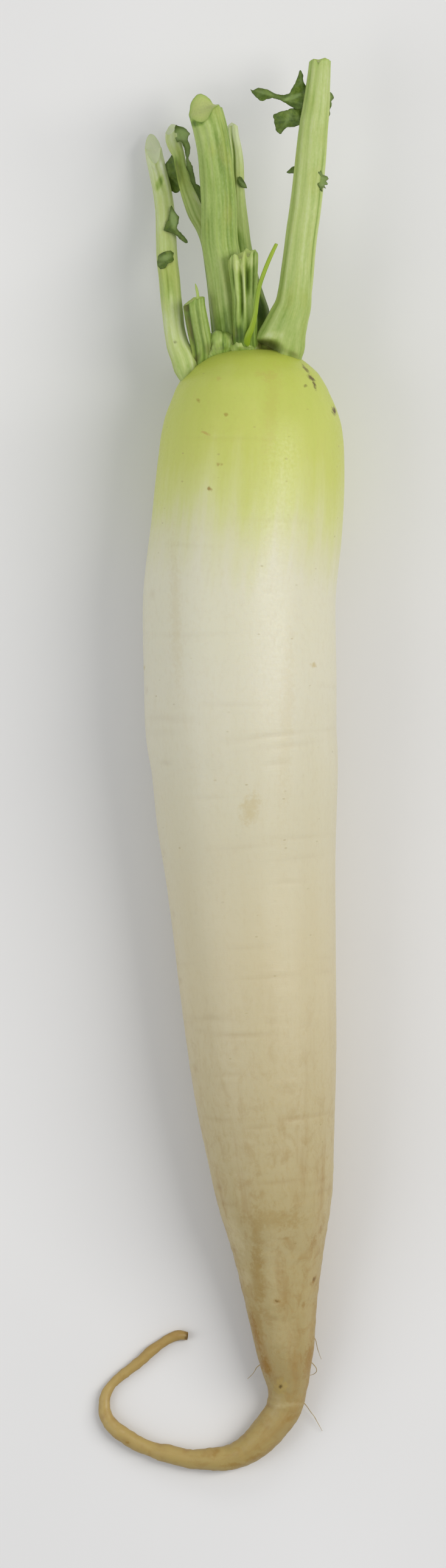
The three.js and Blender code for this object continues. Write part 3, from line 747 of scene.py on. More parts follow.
centreStalk = {
    "rows": [
        (4.1, 105.2, 23, 4.8, 4), (3.3, 109.2, 23.6, 4.8, 4), (2.5, 114, 24.6, 4.65, 4),
        (1.6, 120.9, 25.4, 4.65, 4), (0.7, 130, 26, 4.7, 4), (-0.5, 137.2, 26.2, 4.7, 4),
        (-0.8, 148.1, 26.2, 4.65, 3.9), (-1.3, 154.8, 26.3, 4.5, 3.8), (-2, 161.5, 26.5, 4.4, 3.7),
        (-3.1, 167.3, 26.9, 4.4, 3.6), (-4.4, 172, 27.4, 4.4, 3.4),
    ],
    "seed": 5, "ribs": 11, "ribDepth": 0.15, "sides": 110,
    "tone": [(0, 0.8), (8, 0.54), (14, 0.38), (24, 0.42), (34, 0.52), (45, 0.56), (56, 0.48), (66, 0.42)],
    "furrows": [
        (62, 0.4, 0.25, 5, 60), (128, 0.35, 0.2, 0, 40), (98, 0.5, -0.14, 20, 62), (40, 0.5, 0.2, 30, 64),
    ],
    "shades": [
        # (-6.6, 168.4) and (-3.9, 170.6) are painted shade on the skin along the rim of the cut face;
        # (-0.6, 160) and (1.6, 165) are painted shade where this stalk meets the back stalk
        (-6.6, 168.4, 2.6, 1.1, 12, 0.42), (-3.9, 170.6, 1.6, 0.8, 35, 0.3),
        (-1.4, 116, 3.6, 1.9, 80, 0.1), (1.6, 116.5, 5, 2.6, 90, 0.24), (-0.6, 160, 9, 0.9, 98, 0.22),
        (1.6, 165, 7, 0.8, 100, 0.2), (-3.6, 161, 9, 0.8, 100, -0.14), (2.4, 124, 9, 1, 95, 0.1),
    ],
    "cut": {
        "over": [
            (-1, -2.4), (-0.8, -3), (-0.4, -3.3), (0, -2.5), (0.3, -1.2), (0.5, -0.3), (0.8, 0.3),
            (1, -0.5),
        ],
        "under": [
            (-1, 0.6), (-0.88, 2.2), (-0.75, 3), (-0.5, 3.9), (-0.2, 4.3), (0.05, 4.2), (0.3, 3.4),
            (0.48, 2.2), (0.58, 0.6), (0.75, 0.4), (0.9, 0.2), (1, -0.8),
        ],
    },
    "sunk": -0.5,
}

backStalk = {
    "rows": [
        (8.4, 107.6, 22.2, 4.1, 3.2), (8.4, 111.6, 22.2, 4.2, 3.2), (8.3, 114.8, 22.2, 4.5, 3.3),
        (8.1, 118.3, 22.2, 4.65, 3.3), (7.5, 122, 22.2, 4.1, 3.2), (6.7, 126, 22.2, 3.6, 3.2),
        (5.6, 130.8, 22, 3.4, 3.1), (4.6, 136.4, 21.8, 3.1, 3), (4.3, 141.2, 21.6, 2.8, 2.9),
        (4, 146.8, 21.6, 2.4, 2.8), (3.8, 151.6, 21.6, 2.2, 2.7), (3.7, 157.2, 21.6, 2.2, 2.6),
        (3.5, 161.2, 21.6, 1.95, 2.4), (2.9, 165.2, 21.6, 1.7, 2.2), (2.7, 168.4, 21.6, 1.45, 2),
    ],
    "seed": 8, "channel": (-0.2, 0.98), "hollow": 0.25, "ribs": 8, "ribDepth": 0.1,
    # the last mm toward the tip are painted paler, a painted highlight that offsets the centre stalk's
    # shadow on them
    "tone": [(0, 0.9), (14, 0.8), (24, 0.6), (40, 0.32), (50, 0.14), (56, 0), (62, -0.1)],
    "furrows": [(106, 0.32, 0.5, 38, 58), (60, 0.5, -0.15, 30, 62)],
    # both shades are painted shade: just beyond the top of the front stub, which stands over this stalk,
    # and on its lower right side by the crown
    "shades": [(4, 137.5, 4.2, 2.2, 95, 0.4), (10.8, 119, 5.5, 2.2, 110, 0.3)],
    "cut": {
        "over": [(-1, -1.4), (-0.3, -0.5), (0.4, 0), (1, -0.8)],
        "under": [(-1, -0.4), (0, 0.6), (1, -0.3)],
    },
}

leftInnerStalk = {
    "rows": [
        (0.6, 106.8, 21.6, 2.1, 2.1), (-0.2, 111.6, 20, 2.25, 2.2), (-0.8, 118, 18.8, 2.25, 2.2),
        (-1.5, 124.4, 18.2, 2.15, 2.2), (-2.3, 130.8, 17.8, 2.1, 2.1), (-3.4, 137.2, 17.4, 2, 2.1),
        (-4.8, 141.2, 16.8, 2, 2), (-6.8, 145.2, 16, 2.15, 2), (-8, 148.4, 15.2, 2.1, 1.9),
        (-9.2, 151.6, 14.2, 1.85, 1.8), (-10.1, 154.8, 13.4, 1.7, 1.7), (-10.8, 158, 12.6, 1.6, 1.6),
        (-11.4, 160.9, 12, 1.6, 1.6), (-12.2, 163.1, 11.7, 1.9, 1.6), (-12.7, 165.4, 11.5, 2.15, 1.6),
        (-13, 168.2, 11.3, 2, 1.5),
    ],
    "seed": 12, "channel": (0, 1), "hollow": 0.25, "ribs": 7, "ribDepth": 0.08, "sides": 64,
    "tone": [(0, 0.9), (29, 0.5), (37, 0.3), (43, 0.26), (50, 0.42), (56, 0.42), (60, 0.12), (65, -0.06)],
    "furrows": [(95, 0.35, 0.2, 31, 55), (140, 0.35, 0.2, 35, 57)],
    # (-11.4, 156.5) darkens the stalk's left side, away from the light: painted shade
    "shades": [(-11.4, 156.5, 4.5, 1.2, 100, 0.36), (-7, 149.5, 3, 0.8, 125, -0.15)],
    "cut": {
        "over": [(-1, -2.2), (-0.7, -2.6), (-0.2, -2), (0.4, -1), (0.8, -0.6), (1, -0.6)],
        "under": [(-1, -1.2), (-0.6, 0.1), (-0.1, 0.8), (0.4, 0.7), (0.8, 0.1), (1, -0.5)],
    },
    "rim": 0.05,
}

leftOuterStalk = {
    "rows": [
        (-7.2, 98.6, 27, 0.9, 1.6), (-8.4, 100.9, 27.3, 2.1, 2.4), (-9.2, 103.9, 27.4, 3.2, 2.7),
        (-10, 106.8, 27.3, 3.3, 2.8), (-11.4, 110, 26.8, 3, 2.8), (-12.3, 114, 25.9, 2.75, 2.8),
        (-12.8, 118.3, 24.9, 2.7, 2.9), (-13.3, 122.8, 23.7, 2.7, 2.9), (-13.7, 127.6, 22.2, 2.7, 2.9),
        (-14.3, 133.2, 20, 2.7, 2.9), (-14.6, 139.6, 17.2, 2.6, 2.8), (-14.9, 146, 14.4, 2.5, 2.7),
        (-15.7, 151.6, 11.9, 2.4, 2.6), (-16.8, 156.4, 9.9, 2.3, 2.5), (-17.8, 161.2, 8.2, 2.3, 2.4),
        (-18.6, 165.8, 7.1, 2.2, 2.3),
    ],
    "seed": 15, "channel": (0.3, 0.95), "hollow": 0.2, "ribs": 8, "ribDepth": 0.07, "sides": 64,
    "tone": [
        (0, 0.42), (8, 0.28), (14, 0.04), (19, 0.04), (26, 0.27), (32, 0.28), (42, 0.14), (60, 0.04),
        (68, -0.14),
    ],
    "furrows": [(100, 0.45, 0.25, 24, 34), (80, 0.4, 0.3, 56, 82)],
    "shades": [
        (-13.6, 126.6, 3.4, 0.9, 96, 0.22), (-15.6, 126, 6, 0.7, 96, 0.12),
        (-16.4, 153.2, 2.6, 1, 70, 0.45),
    ],
    "cut": {
        "over": [
            (-1, -3.4), (-0.92, -5), (-0.75, -6.6), (-0.45, -7.8), (0, -8.3), (0.45, -7.9), (0.75, -6.8),
            (0.92, -5.4), (1, -3.8),
        ],
        "under": [
            (-1, -2.8), (-0.92, -1), (-0.75, 0.2), (-0.45, 1), (0, 1.3), (0.45, 1), (0.75, 0.1),
            (0.92, -1.2), (1, -3.2),
        ],
    },
    "reach": 18, "sunk": 0.2,
    "stainsAndShade": [(-12.2, 111.0, 0.5, 0.5, 0, 0.6)],
}


def joined(name, parts, material):
    # several closed bodies as one piece; each part is (points, values)
    pieces = [
        skinned(name + str(i), points, material, **values)
        for i, (points, values) in enumerate(parts)
    ]
    with bpy.context.temp_override(active_object=pieces[0], selected_editable_objects=pieces):
        bpy.ops.object.join()
    pieces[0].name = name
    return pieces[0]


frontStub = {
    "rows": [
        (6.4, 106.8, 27.4, 3.4, 2.3), (6.2, 111.6, 29.8, 3.2, 2.4), (6.1, 117.2, 31.4, 3.2, 2.3),
        (6, 122.8, 32.2, 3.2, 2.2), (5.8, 128.4, 32.8, 3.6, 2), (5.7, 131.6, 33.1, 3.85, 1.8),
        (5.7, 133.4, 33.2, 3.85, 1.6),
    ],
    "seed": 20, "ribs": 13, "ribDepth": 0.1, "sides": 150, "step": 0.28,
    "tone": [(0, 0.9), (6, 0.82), (12, 0.7), (17, 0.58), (24, 0.48), (27, 0.4)],
    "furrows": [
        (99, 0.36, 1.15, 12, 24.5), (70, 0.42, 1.25, 17.5, 26), (142, 0.36, 0.8, 19, 25.5),
        (38, 0.3, 0.6, 16, 30), (126, 0.26, 0.5, 14.5, 17), (118, 0.55, -0.5, 9, 30),
        (85, 0.5, -0.5, 9, 30), (53, 0.4, -0.35, 9, 30),
    ],
    "shades": [
        (4.2, 131, 2.4, 0.7, 95, -0.25), (8.2, 132, 2.2, 1.2, 60, -0.2), (5.6, 124.6, 8, 0.7, 93, -0.3),
        (7.3, 127.6, 4.6, 0.8, 90, 0.18), (4.6, 113, 3, 1.6, 90, 0.3), (6.6, 112, 2.4, 1, 90, 0.1),
    ],
    "cut": {
        "over": [
            (-1, -1.4), (-0.86, -0.4), (-0.78, 0.4), (-0.66, 0.2), (-0.52, 0.7), (-0.36, 0.2),
            (-0.22, -1.8), (-0.12, -1.4), (0, 0.9), (0.12, 1.7), (0.22, 0.3), (0.34, -1.7), (0.46, 0.8),
            (0.6, 1.6), (0.72, 0.4), (0.86, 1.5), (1, 0.2),
        ],
        "under": [(-1, -0.8), (-0.5, 0.4), (0, 1.2), (0.2, 2.2), (0.5, 1.4), (0.8, 2), (1, 0.6)],
    },
    "reach": 8, "sunk": 0.9,
}

leftStub = {
    "rows": [
        (-5.2, 103.6, 25.6, 2.2, 1.9), (-5, 106.2, 27.2, 2.7, 2.2), (-5.2, 110, 28.4, 2.85, 2.4),
        (-6, 114, 29.2, 2.95, 2.4), (-6.8, 118, 29.8, 2.9, 2.3), (-7.2, 120.4, 30.1, 2.85, 2.2),
        (-7.3, 122, 30.3, 2.8, 2),
    ],
    "seed": 41, "ribs": 12, "ribDepth": 0.12, "sides": 110, "step": 0.3,
    "tone": [(0, 0.6), (7, 0.6), (17, 0.56)],
    "furrows": [(132, 0.55, 0.45, -4, 30), (76, 0.4, 0.16, 4, 19), (104, 0.6, -0.14, 4, 20)],
    "shades": [(-4.5, 112, 6, 0.5, 100, -0.1), (-8.6, 115, 6, 0.9, 103, 0.2)],
    "cut": {
        "over": [
            (-1, -1.6), (-0.7, -1), (-0.5, -0.7), (-0.2, -0.3), (0, 0.1), (0.15, 0.7), (0.3, 0.3),
            (0.7, 0.7), (1, 0.4),
        ],
        "under": [(-1, -1.2), (0, 0.6), (1, 0.8)],
    },
    "reach": 6,
    "stainsAndShade": [
        (-9.2, 120, 1.5, 0.9, 100, 0.75), (-8.4, 115, 5, 0.8, 103, 0.45),
        (-3.2, 108.6, 2.8, 1.3, 105, 0.5), (-7, 105.8, 3.4, 1, 60, 0.6), (-6, 114, 8, 2.4, 100, 0.16),
    ],
    "spike": {
        "rows": [
            (-6.1, 118.6, 29.6, 0.5, 0.4), (-6.2, 121.4, 31.4, 0.48, 0.36), (-6.3, 123.4, 32, 0.42, 0.3),
            (-6.6, 125, 32.2, 0.34, 0.22), (-6.9, 126.2, 32.3, 0.12, 0.1),
        ],
        "seed": 44, "ribs": 3, "ribDepth": 0.03, "sides": 16, "step": 0.25,
        "tone": [(0, 0.55), (6, 0.4)],
    },
}


def makeLeftStub(material):
    body = stalkPoints(leftStub)
    thorn = stalkPoints(leftStub["spike"])
    parts = [withCutEnd(body[0], 0.5, body[1]), withCutEnd(thorn[0], 0.0, thorn[1])]
    piece = joined("leftStub", parts, material)
    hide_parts("stub_left")


youngShoot = {
    "rows": [
        (6.4, 108.4, 29.8, 0.6, 0.6), (6.6, 110.4, 31.5, 0.8, 0.7), (7, 112.4, 33, 0.8, 0.68),
        (8, 114.8, 34.4, 0.68, 0.6), (8.8, 118, 35.6, 0.54, 0.5), (9.2, 121.2, 36.2, 0.48, 0.48),
        (9.7, 124.4, 36.5, 0.46, 0.46), (10.5, 127.3, 36.8, 0.45, 0.45), (11.8, 130.8, 37.1, 0.44, 0.42),
        (13.2, 134, 37.3, 0.42, 0.4), (14.4, 136.5, 37.4, 0.36, 0.34),
    ],
    "seed": 50, "channel": (0, 1), "hollow": 0.4, "ribs": 4, "ribDepth": 0.04, "sides": 22, "step": 0.3,
    "tone": [(0, 0.62), (4, 0.5), (8, 0.4), (16, 0.5), (32, 0.3)],
}


def shootMaterial():
    material, tree, skin = startMaterial("shootSkin", {
        "Roughness": 0.4, "Subsurface Weight": 0.1, "Subsurface Scale": 0.001,
        "Specular IOR Level": 0.45,
    })
    straight, tone = fromMesh(tree, "straight", "tone")
    fibre = cloud(straight, (2.0, 2.0, 0.12), 3, 0.6)
    depth = timesPlus(fibre, 0.6, tone)
    colour = ramp(depth, [(0.45, rgb(166, 186, 54)), (0.75, rgb(142, 168, 42)), (1.1, rgb(110, 142, 30))])
    wire(skin, colour=colour, normal=bumped((fibre, 0.3, 0.1)))
    return material


def makeShoot():
    points, values = stalkPoints(youngShoot)
    points, values = withCutEnd(points, 0.0, values)
    piece = skinned("youngShoot", points, shootMaterial(), **values)
    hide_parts("young_shoot")


crownScales = {
    # old leaf feet, grown into one soft mass in two halves, each from left to right:
    # x, y, z, half its depth, half its height; shades and stains, with some painted shade among the
    # stains, are seen from above, as for the stalks
    "crown_scale_left": {
        "rows": [
            (-6.4, 104.6, 25.4, 0.6, 0.8), (-5, 106.6, 26.4, 2, 2), (-3, 108.4, 26.8, 3.4, 3),
            (-1, 109.6, 27, 4.1, 3.6), (1, 109.8, 27, 3.9, 3.8), (2.8, 109.4, 26.9, 2.9, 3),
            (4, 109, 26.6, 1.2, 1.4),
        ],
        "seed": 78,
        "tone": [(0, 0.6), (6, 0.55), (12, 0.62)],
        "bulges": [
            (-1, 112, 1.7, 2.4, 0, 0.7), (0.9, 111.2, 2.6, 0.8, 92, 0.5),
            (-3.4, 109.2, 2.6, 0.6, 65, -0.5),
        ],
        "shades": [(-1.2, 112, 2, 1.7, 0, -0.12), (0.6, 111.2, 2.6, 0.8, 92, 0.3)],
        "stainsAndShade": [
            (-3.3, 109, 2.6, 1.1, 62, 0.6), (-6.4, 105, 1.8, 0.7, 50, 0.8),
            (2.8, 111.4, 1.4, 0.8, 100, 0.7), (-0.2, 109.3, 2.2, 0.6, 6, 0.3),
        ],
    },
    "crown_scale_right": {
        "rows": [
            (1.6, 109.2, 26.6, 1.2, 1.6), (3, 109.5, 27, 2.6, 3.6), (5.4, 109.4, 27.3, 3, 4.3),
            (7.8, 109.3, 27.2, 2.5, 3.9), (9.4, 109.2, 27, 1.7, 2.6), (10.8, 109, 26.4, 0.7, 1),
        ],
        "seed": 178,
        "tone": [(0, 0.66), (4, 0.6), (10, 0.75)],
        "bulges": [
            (4.6, 110.8, 1.2, 1.7, 0, 0.6), (7.6, 110.6, 1.4, 0.9, 70, 0.5),
            (2.9, 111.4, 1.3, 0.7, 100, -0.6),
        ],
        "shades": [(5, 110.6, 2.4, 1.2, 0, -0.12), (7.6, 110.6, 1.6, 0.9, 70, -0.1)],
        "stainsAndShade": [
            # (10.4, 109.6) is painted shade in the hollow by the right stalk's foot
            (2.8, 111.4, 1.4, 0.9, 100, 0.8), (10.4, 109.6, 2, 1.8, 0, 1), (6, 109.5, 2.6, 0.4, 0, 0.3),
        ],
    },
}


scaleGrid = {"step": 0.14, "sides": 120}


def makeScales(material):
    for nodeName, spec in crownScales.items():
        seed = spec["seed"]
        grid = gridAlong(spec["rows"], scaleGrid["step"], scaleGrid["sides"])
        around = grid.angle * grid.half.mean(axis=1)[:, None]
        rounded = np.stack([grid.s, 3 * grid.cos, 3 * grid.sin], axis=-1)
        push = 0.26 * layered(rounded, (1.4, 3.5, 3.5), seed)
        push += 0.14 * layered(rounded, (0.6, 2.2, 2.2), seed + 1)
        upper = smoothStep(grid.sin, 0, 0.4)
        push += upper * marked(placed(grid, grid.cos, grid.sin), spec["bulges"])
        points = placed(grid, grid.cos, grid.sin, push)
        mottle = lumps(points, 1.5, seed + 3)
        tone = np.interp(grid.s, *zip(*spec["tone"])) + 0.16 * mottle + marked(points, spec["shades"])
        stainAndShade = marked(points, spec["stainsAndShade"]) * (0.8 + 0.4 * mottle)
        values = {
            "straight": np.stack([grid.s + 7 * seed, 0 * grid.s, around], axis=-1), "tone": tone,
            "groove": np.clip(0.4 - 0.8 * push, 0, 1), "stainAndShade": np.clip(stainAndShade, 0, 1), "cut": 0 * push,
        }
        piece = skinned("crownScale" + nodeName[12:].title(), points, material, **values)
        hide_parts(nodeName)


neckSpec = {
    # the short stump that the stalks grow from: x, y, z, half width, half height
    "rows": [
        (6.4, 104.6, 24.2, 12.6, 6), (6.2, 107, 24.2, 11.8, 6), (6, 108.8, 24.2, 10.6, 5.8),
        (6, 110, 24.2, 9, 5), (6, 110.8, 24.2, 6.6, 3.6), (6, 111.1, 24.2, 2.6, 1.4),
    ],
    "step": 0.3,
    "sides": 150,
}


def makeNeck(material):
    grid = gridAlong(neckSpec["rows"], neckSpec["step"], neckSpec["sides"])
    straight = np.stack([grid.cos * 10, grid.sin * 10, grid.s + 900], axis=-1)
    push = 0.5 * layered(straight, (3.5, 3.5, 3), 70)
    push += 0.2 * np.cos(17 * grid.angle + 2 * lumps(straight, 6, 71))
    points = placed(grid, grid.cos, grid.sin, push)
    tone = 0.75 + 0.35 * lumps(points, 2.6, 72)
    # mottled brown stains; the oval at (12.4, 110) is painted shade in the hollow by the right stalk's
    # foot
    stainAndShade = 0.3 + 0.6 * lumps(points, 2.2, 73) + marked(points, [(12.4, 110.0, 4.6, 2.4, -4, 0.6)])
    values = {
        "straight": straight, "tone": tone, "groove": np.clip(-push, 0, 1),
        "stainAndShade": np.clip(stainAndShade, 0, 1), "cut": 0 * push,
    }
    piece = skinned("crownNeck", points, material, **values)


leafScraps = {
    # outline of each scrap, how high it lies, and its veins as lines from one point to another
    "leaf_right_upper": {
        "outline": [
            (7.3, 177.5), (8.4, 177.2), (9.6, 177.8), (10.8, 177.5), (12.1, 177.2), (13.7, 176.2),
            (15.3, 175.9), (16.6, 175.9), (17.7, 176.2), (18.5, 177.5), (19.2, 178.8), (20, 180.9),
            (20.6, 182.5), (21.2, 181), (21.6, 179.1), (22.2, 177.8), (22, 175.9), (21.5, 173.7),
            (21, 171.9), (19.3, 172), (18, 172.7), (16.8, 173.6), (15, 174.6), (13.4, 175.1),
            (12.1, 174.8), (10.8, 174.2), (9.9, 174.6), (8.8, 175.6),
        ],
        "height": lambda x, y: 29.9 - 0.02 * (x - 21) ** 2 + 0.5 * np.sin(0.9 * (x - y)),
        "veins": [(22.4, 173, 8, 177.2), (21.6, 174, 20.6, 182), (14, 175.2, 11.5, 177.5)],
        "light": [(18.6, 175.2, 3.2, 0.7, 20, 0.8), (11.5, 176.4, 3, 0.6, -12, 0.5)],
    },
    "leaf_right_lower": {
        "outline": [
            (21.6, 172.2), (19.8, 172.4), (18.2, 172.2), (16.3, 171.6), (14.7, 171.1), (13.6, 170.6),
            (13.7, 169.2), (14, 167.6), (14.7, 166), (15.5, 165.5), (16.3, 166.5), (17.2, 167.3),
            (18.5, 167.6), (20.1, 167.8), (21.4, 168.1), (21.5, 170.5),
        ],
        "height": lambda x, y: 30.2 + 0.22 * (x - 21) + 0.35 * np.sin(1.1 * (x + y)),
        "veins": [(21.5, 170, 14.2, 169), (17.5, 169.6, 15.2, 166), (18.5, 169.8, 16.5, 171.6)],
        "light": [(17.6, 170.0, 2.6, 0.9, 70, 0.25)],
    },
    "leaf_right_bud_left": {
        "outline": [
            (16.9, 155.4), (17.6, 155.9), (18.4, 156.7), (19.4, 157.2), (19.6, 155), (18.5, 155.3),
            (17.7, 155.2),
        ],
        "height": lambda x, y: 31.8 + 0.4 * (x - 19.3),
        "veins": [(19.6, 156.0, 17.0, 155.5)],
    },
    "leaf_right_bud_top": {
        "outline": [
            (27, 177.4), (28.3, 176.6), (29.2, 175.9), (29.6, 175.1), (28.6, 174.3), (28.8, 173),
            (28.3, 171.8), (28.4, 170.5), (27.8, 169.5), (27, 170.6), (26.8, 174),
        ],
        "height": lambda x, y: 30.1 + 0.4 * np.sin(1.6 * y),
        "veins": [(27.2, 173, 29.2, 175.6), (27.4, 172, 28, 170)],
        "light": [(28.2, 173.4, 4.0, 1.6, 90, 0.7)],
    },
    "leaf_right_bud_low": {
        "outline": [
            (25.5, 156.4), (26.3, 155.6), (26.6, 154.6), (27.6, 154.2), (28.3, 153.6), (27.3, 153.1),
            (28, 152.2), (26.9, 152), (27.4, 151), (26.4, 151.4), (26.5, 150.2), (25.8, 150.8),
            (25.2, 151.9), (25.2, 154.5),
        ],
        "height": lambda x, y: 34.0 - 0.45 * (x - 26) + 0.3 * np.sin(2.2 * y),
        "veins": [(25.6, 154, 28, 153.8), (25.8, 153, 27.2, 151.2)],
        "light": [(26.8, 153.4, 3.6, 1.6, 90, 0.7)],
    },
    "leaf_left_inner": {
        "outline": [
            (-12, 168.6), (-10.9, 168.1), (-9.6, 167.6), (-8.2, 166.3), (-8.8, 165.4), (-9, 164.6),
            (-8.4, 163.4), (-8.2, 161.5), (-8.7, 159.9), (-8.4, 158.8), (-7.6, 157.4), (-7.4, 156.1),
            (-7.1, 154.6), (-6.8, 153), (-6, 152.6), (-5.3, 151.8), (-5, 150.3), (-4.8, 148.4),
            (-5.3, 147.3), (-6.1, 148.4), (-7.2, 150.2), (-8, 151.8), (-8.5, 153.5), (-8.8, 155.6),
            (-9.2, 158), (-9.3, 160.2), (-9.5, 161.5), (-10, 162.8), (-10.4, 164.1), (-11.1, 164.4),
            (-11.9, 164.1), (-12.4, 165.7), (-12.4, 167.3),
        ],
        "height": lambda x, y: 13.9 - 0.1 * (y - 155) + 0.3 * np.sin(1.2 * y),
        "veins": [(-6, 148.5, -9.4, 163), (-9.4, 163, -11.5, 167)],
        "light": [
            (-10.4, 166, 3.2, 2.2, 0, 1), (-8.6, 160, 6, 1.2, 95, 0.6), (-6.6, 151.5, 4, 1.2, 110, 0.3),
        ],
    },
    "leaf_left_inner_low": {
        "outline": [
            (-12.8, 161.2), (-12, 160.9), (-11.7, 159.3), (-11.6, 157.2), (-11.1, 154.8), (-10.9, 152.7),
            (-11.4, 151), (-12.4, 150.6), (-13.3, 151.4), (-14, 152.7), (-14.9, 153.2), (-15.4, 154.6),
            (-14.9, 156.4), (-15.1, 158), (-14.1, 159.3), (-13.6, 160.2),
        ],
        "height": lambda x, y: 12.3 + 0.9 * (x + 11.5) + 0.3 * np.sin(1.3 * y),
        "veins": [(-11.6, 153, -14.6, 157), (-11.9, 156.5, -13.4, 160.4)],
        "light": [(-14.4, 156, 3.4, 0.9, 90, 0.5)],
    },
    "leaf_left_outer_flap": {
        "outline": [
            (-13.3, 147.3), (-12.7, 146.3), (-11.9, 145.2), (-11.2, 144.1), (-11.4, 142.6), (-11.7, 141.4),
            (-11.4, 140.4), (-10.4, 139.6), (-9.3, 138.5), (-8.8, 137.5), (-9.5, 137.2), (-10.6, 138.2),
            (-11.7, 139.1), (-12.8, 139.9), (-14.3, 140.2), (-15.2, 140.9), (-14.8, 142), (-14.1, 143.3),
            (-13.8, 144.9), (-13.6, 146.3),
        ],
        "height": lambda x, y: 19.0 - 0.42 * (y - 143),
        "veins": [(-13.6, 142, -12.8, 146.4), (-13, 141.4, -9.8, 138)],
        "light": [(-12.6, 143.5, 3.0, 1.2, 100, 0.9)],
    },
    "leaf_left_outer_band": {
        "outline": [
            (-17, 132.4), (-16.7, 133.7), (-15.7, 134.6), (-14.4, 135.1), (-13.2, 135.1), (-12.2, 134.5),
            (-12.2, 133.2), (-12.8, 132.2), (-14.1, 131.8), (-15.1, 130.6), (-16.2, 130.3), (-16.8, 131.3),
        ],
        "height": lambda x, y: 23.3 - 0.43 * (y - 133) - 0.3 * (x + 14.5) ** 2,
        "veins": [(-16.6, 131.4, -12.6, 133.8)],
        "light": [(-14.6, 133.4, 2.2, 0.9, 20, 0.6)],
    },
    "leaf_centre_back_bud": {
        "outline": [
            (4.6, 154.6), (5.4, 154.3), (6, 153.4), (6.5, 152.4), (6.8, 151.4), (5.7, 151.6), (4.9, 152.2),
            (4.3, 152.7), (4.1, 153.8),
        ],
        "height": lambda x, y: 24.4 + 0 * x,
        "veins": [(4.6, 153.8, 6.4, 151.9)],
    },
}

leafFinish = {
    # in mm
    "thickness": 0.32, "cell": 0.3, "ragged": 0.13, "wave": 0.35, "curl": 0.45,
    "veinWidth": 0.28, "veinDepth": 0.14,
}


def raggedOutline(outline, cell, ragged, seed):
    # an outline with a point every cell, softened at its corners and torn a little
    loop = []
    for (x0, y0), (x1, y1) in zip(outline, outline[1:] + outline[:1]):
        count = max(2, round(math.hypot(x1 - x0, y1 - y0) / cell))
        loop += [(x0 + (x1 - x0) * k / count, y0 + (y1 - y0) * k / count) for k in range(count)]
    loop = np.array(loop)
    loop = 0.5 * loop + 0.25 * (np.roll(loop, 1, axis=0) + np.roll(loop, -1, axis=0))
    out = np.roll(loop, -1, axis=0) - np.roll(loop, 1, axis=0)
    out = np.stack([out[:, 1], -out[:, 0]], axis=1) / np.linalg.norm(out, axis=1, keepdims=True)
    flat = np.column_stack([loop, np.zeros(len(loop))])
    return loop + out * (ragged * layered(flat, 0.9, seed))[:, None]


def makeLeaf(nodeName, spec, seed, material):
    cell = leafFinish["cell"]
    loop = raggedOutline(spec["outline"], cell, leafFinish["ragged"], seed)
    low, high = loop.min(axis=0), loop.max(axis=0)
    inner = [(x, y) for x in np.arange(low[0], high[0], cell) for y in np.arange(low[1], high[1], cell)]
    count = len(loop)
    edges = [(i, (i + 1) % count) for i in range(count)]
    verts = [Vector(p) for p in loop.tolist()] + [Vector(p) for p in inner]
    flat, _, faces = geometry.delaunay_2d_cdt(verts, edges, [], 1, 1e-4)[:3]
    xy = np.array([tuple(p) for p in flat])
    used = sorted({i for face in faces for i in face})
    order = {old: new for new, old in enumerate(used)}
    xy, faces = xy[used], [tuple(order[i] for i in face) for face in faces]
    rim = np.min(np.linalg.norm(xy[:, None] - loop[None], axis=2), axis=1)
    vein = np.zeros(len(xy))
    for x0, y0, x1, y1 in spec["veins"]:
        start, run = np.array([x0, y0]), np.array([x1 - x0, y1 - y0])
        t = np.clip((xy - start) @ run / (run @ run), 0, 1)
        away = np.linalg.norm(xy - start - t[:, None] * run, axis=1)
        vein = np.maximum(vein, bell(away, 0, leafFinish["veinWidth"]) * (1 - 0.4 * t))
    level = np.column_stack([xy, 0 * rim])
    points = np.column_stack([xy, spec["height"](xy[:, 0], xy[:, 1])])
    curl = leafFinish["curl"] * bell(rim, 0, 0.7) * lumps(level, 2.0, seed + 5)
    wave = leafFinish["wave"] * layered(level, 2.4, seed)
    points[:, 2] += wave - leafFinish["veinDepth"] * vein + curl
    light = np.clip(marked(level, spec.get("light", ())), 0, 1)
    values = {"straight": level, "vein": vein, "rim": bell(rim, 0, 0.3), "light": light}
    piece = makeMesh("leaf" + nodeName[5:].title().replace("_", ""), points, faces, material, values)
    piece.modifiers.new("thickness", "SOLIDIFY").thickness = leafFinish["thickness"] * mm
    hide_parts(nodeName)


def leafMaterial():
    material, tree, skin = startMaterial("leafBlade", {
        "Roughness": 0.55, "Specular IOR Level": 0.35, "Subsurface Weight": 0.12,
        "Subsurface Radius": (0.4, 1.0, 0.15), "Subsurface Scale": 0.0008,
    })
    flat, vein, rim, light = fromMesh(tree, "straight", "vein", "rim", "light")
    patch = cloud(flat, 0.5, 4, 0.6)
    fine = cloud(flat, 2.6, 3, 0.6)
    depth = timesPlus(fine, 0.35, patch)
    colour = ramp(depth, [(0.45, rgb(60, 82, 24)), (0.68, rgb(88, 110, 36)), (0.95, rgb(120, 140, 54))])
    colour = blended(times(light, 0.7), colour, rgb(160, 182, 112))
    colour = blended(times(vein, 0.4), colour, rgb(136, 156, 86))
    colour = blended(times(rim, 0.4), colour, rgb(62, 74, 30))
    roughness = between(fine, 0.3, 0.7, 0.46, 0.64)
    normal = bumped((fine, 0.5, 0.15), (patch, 0.3, 0.3))
    wire(skin, colour=colour, roughness=roughness, normal=normal)
    return material


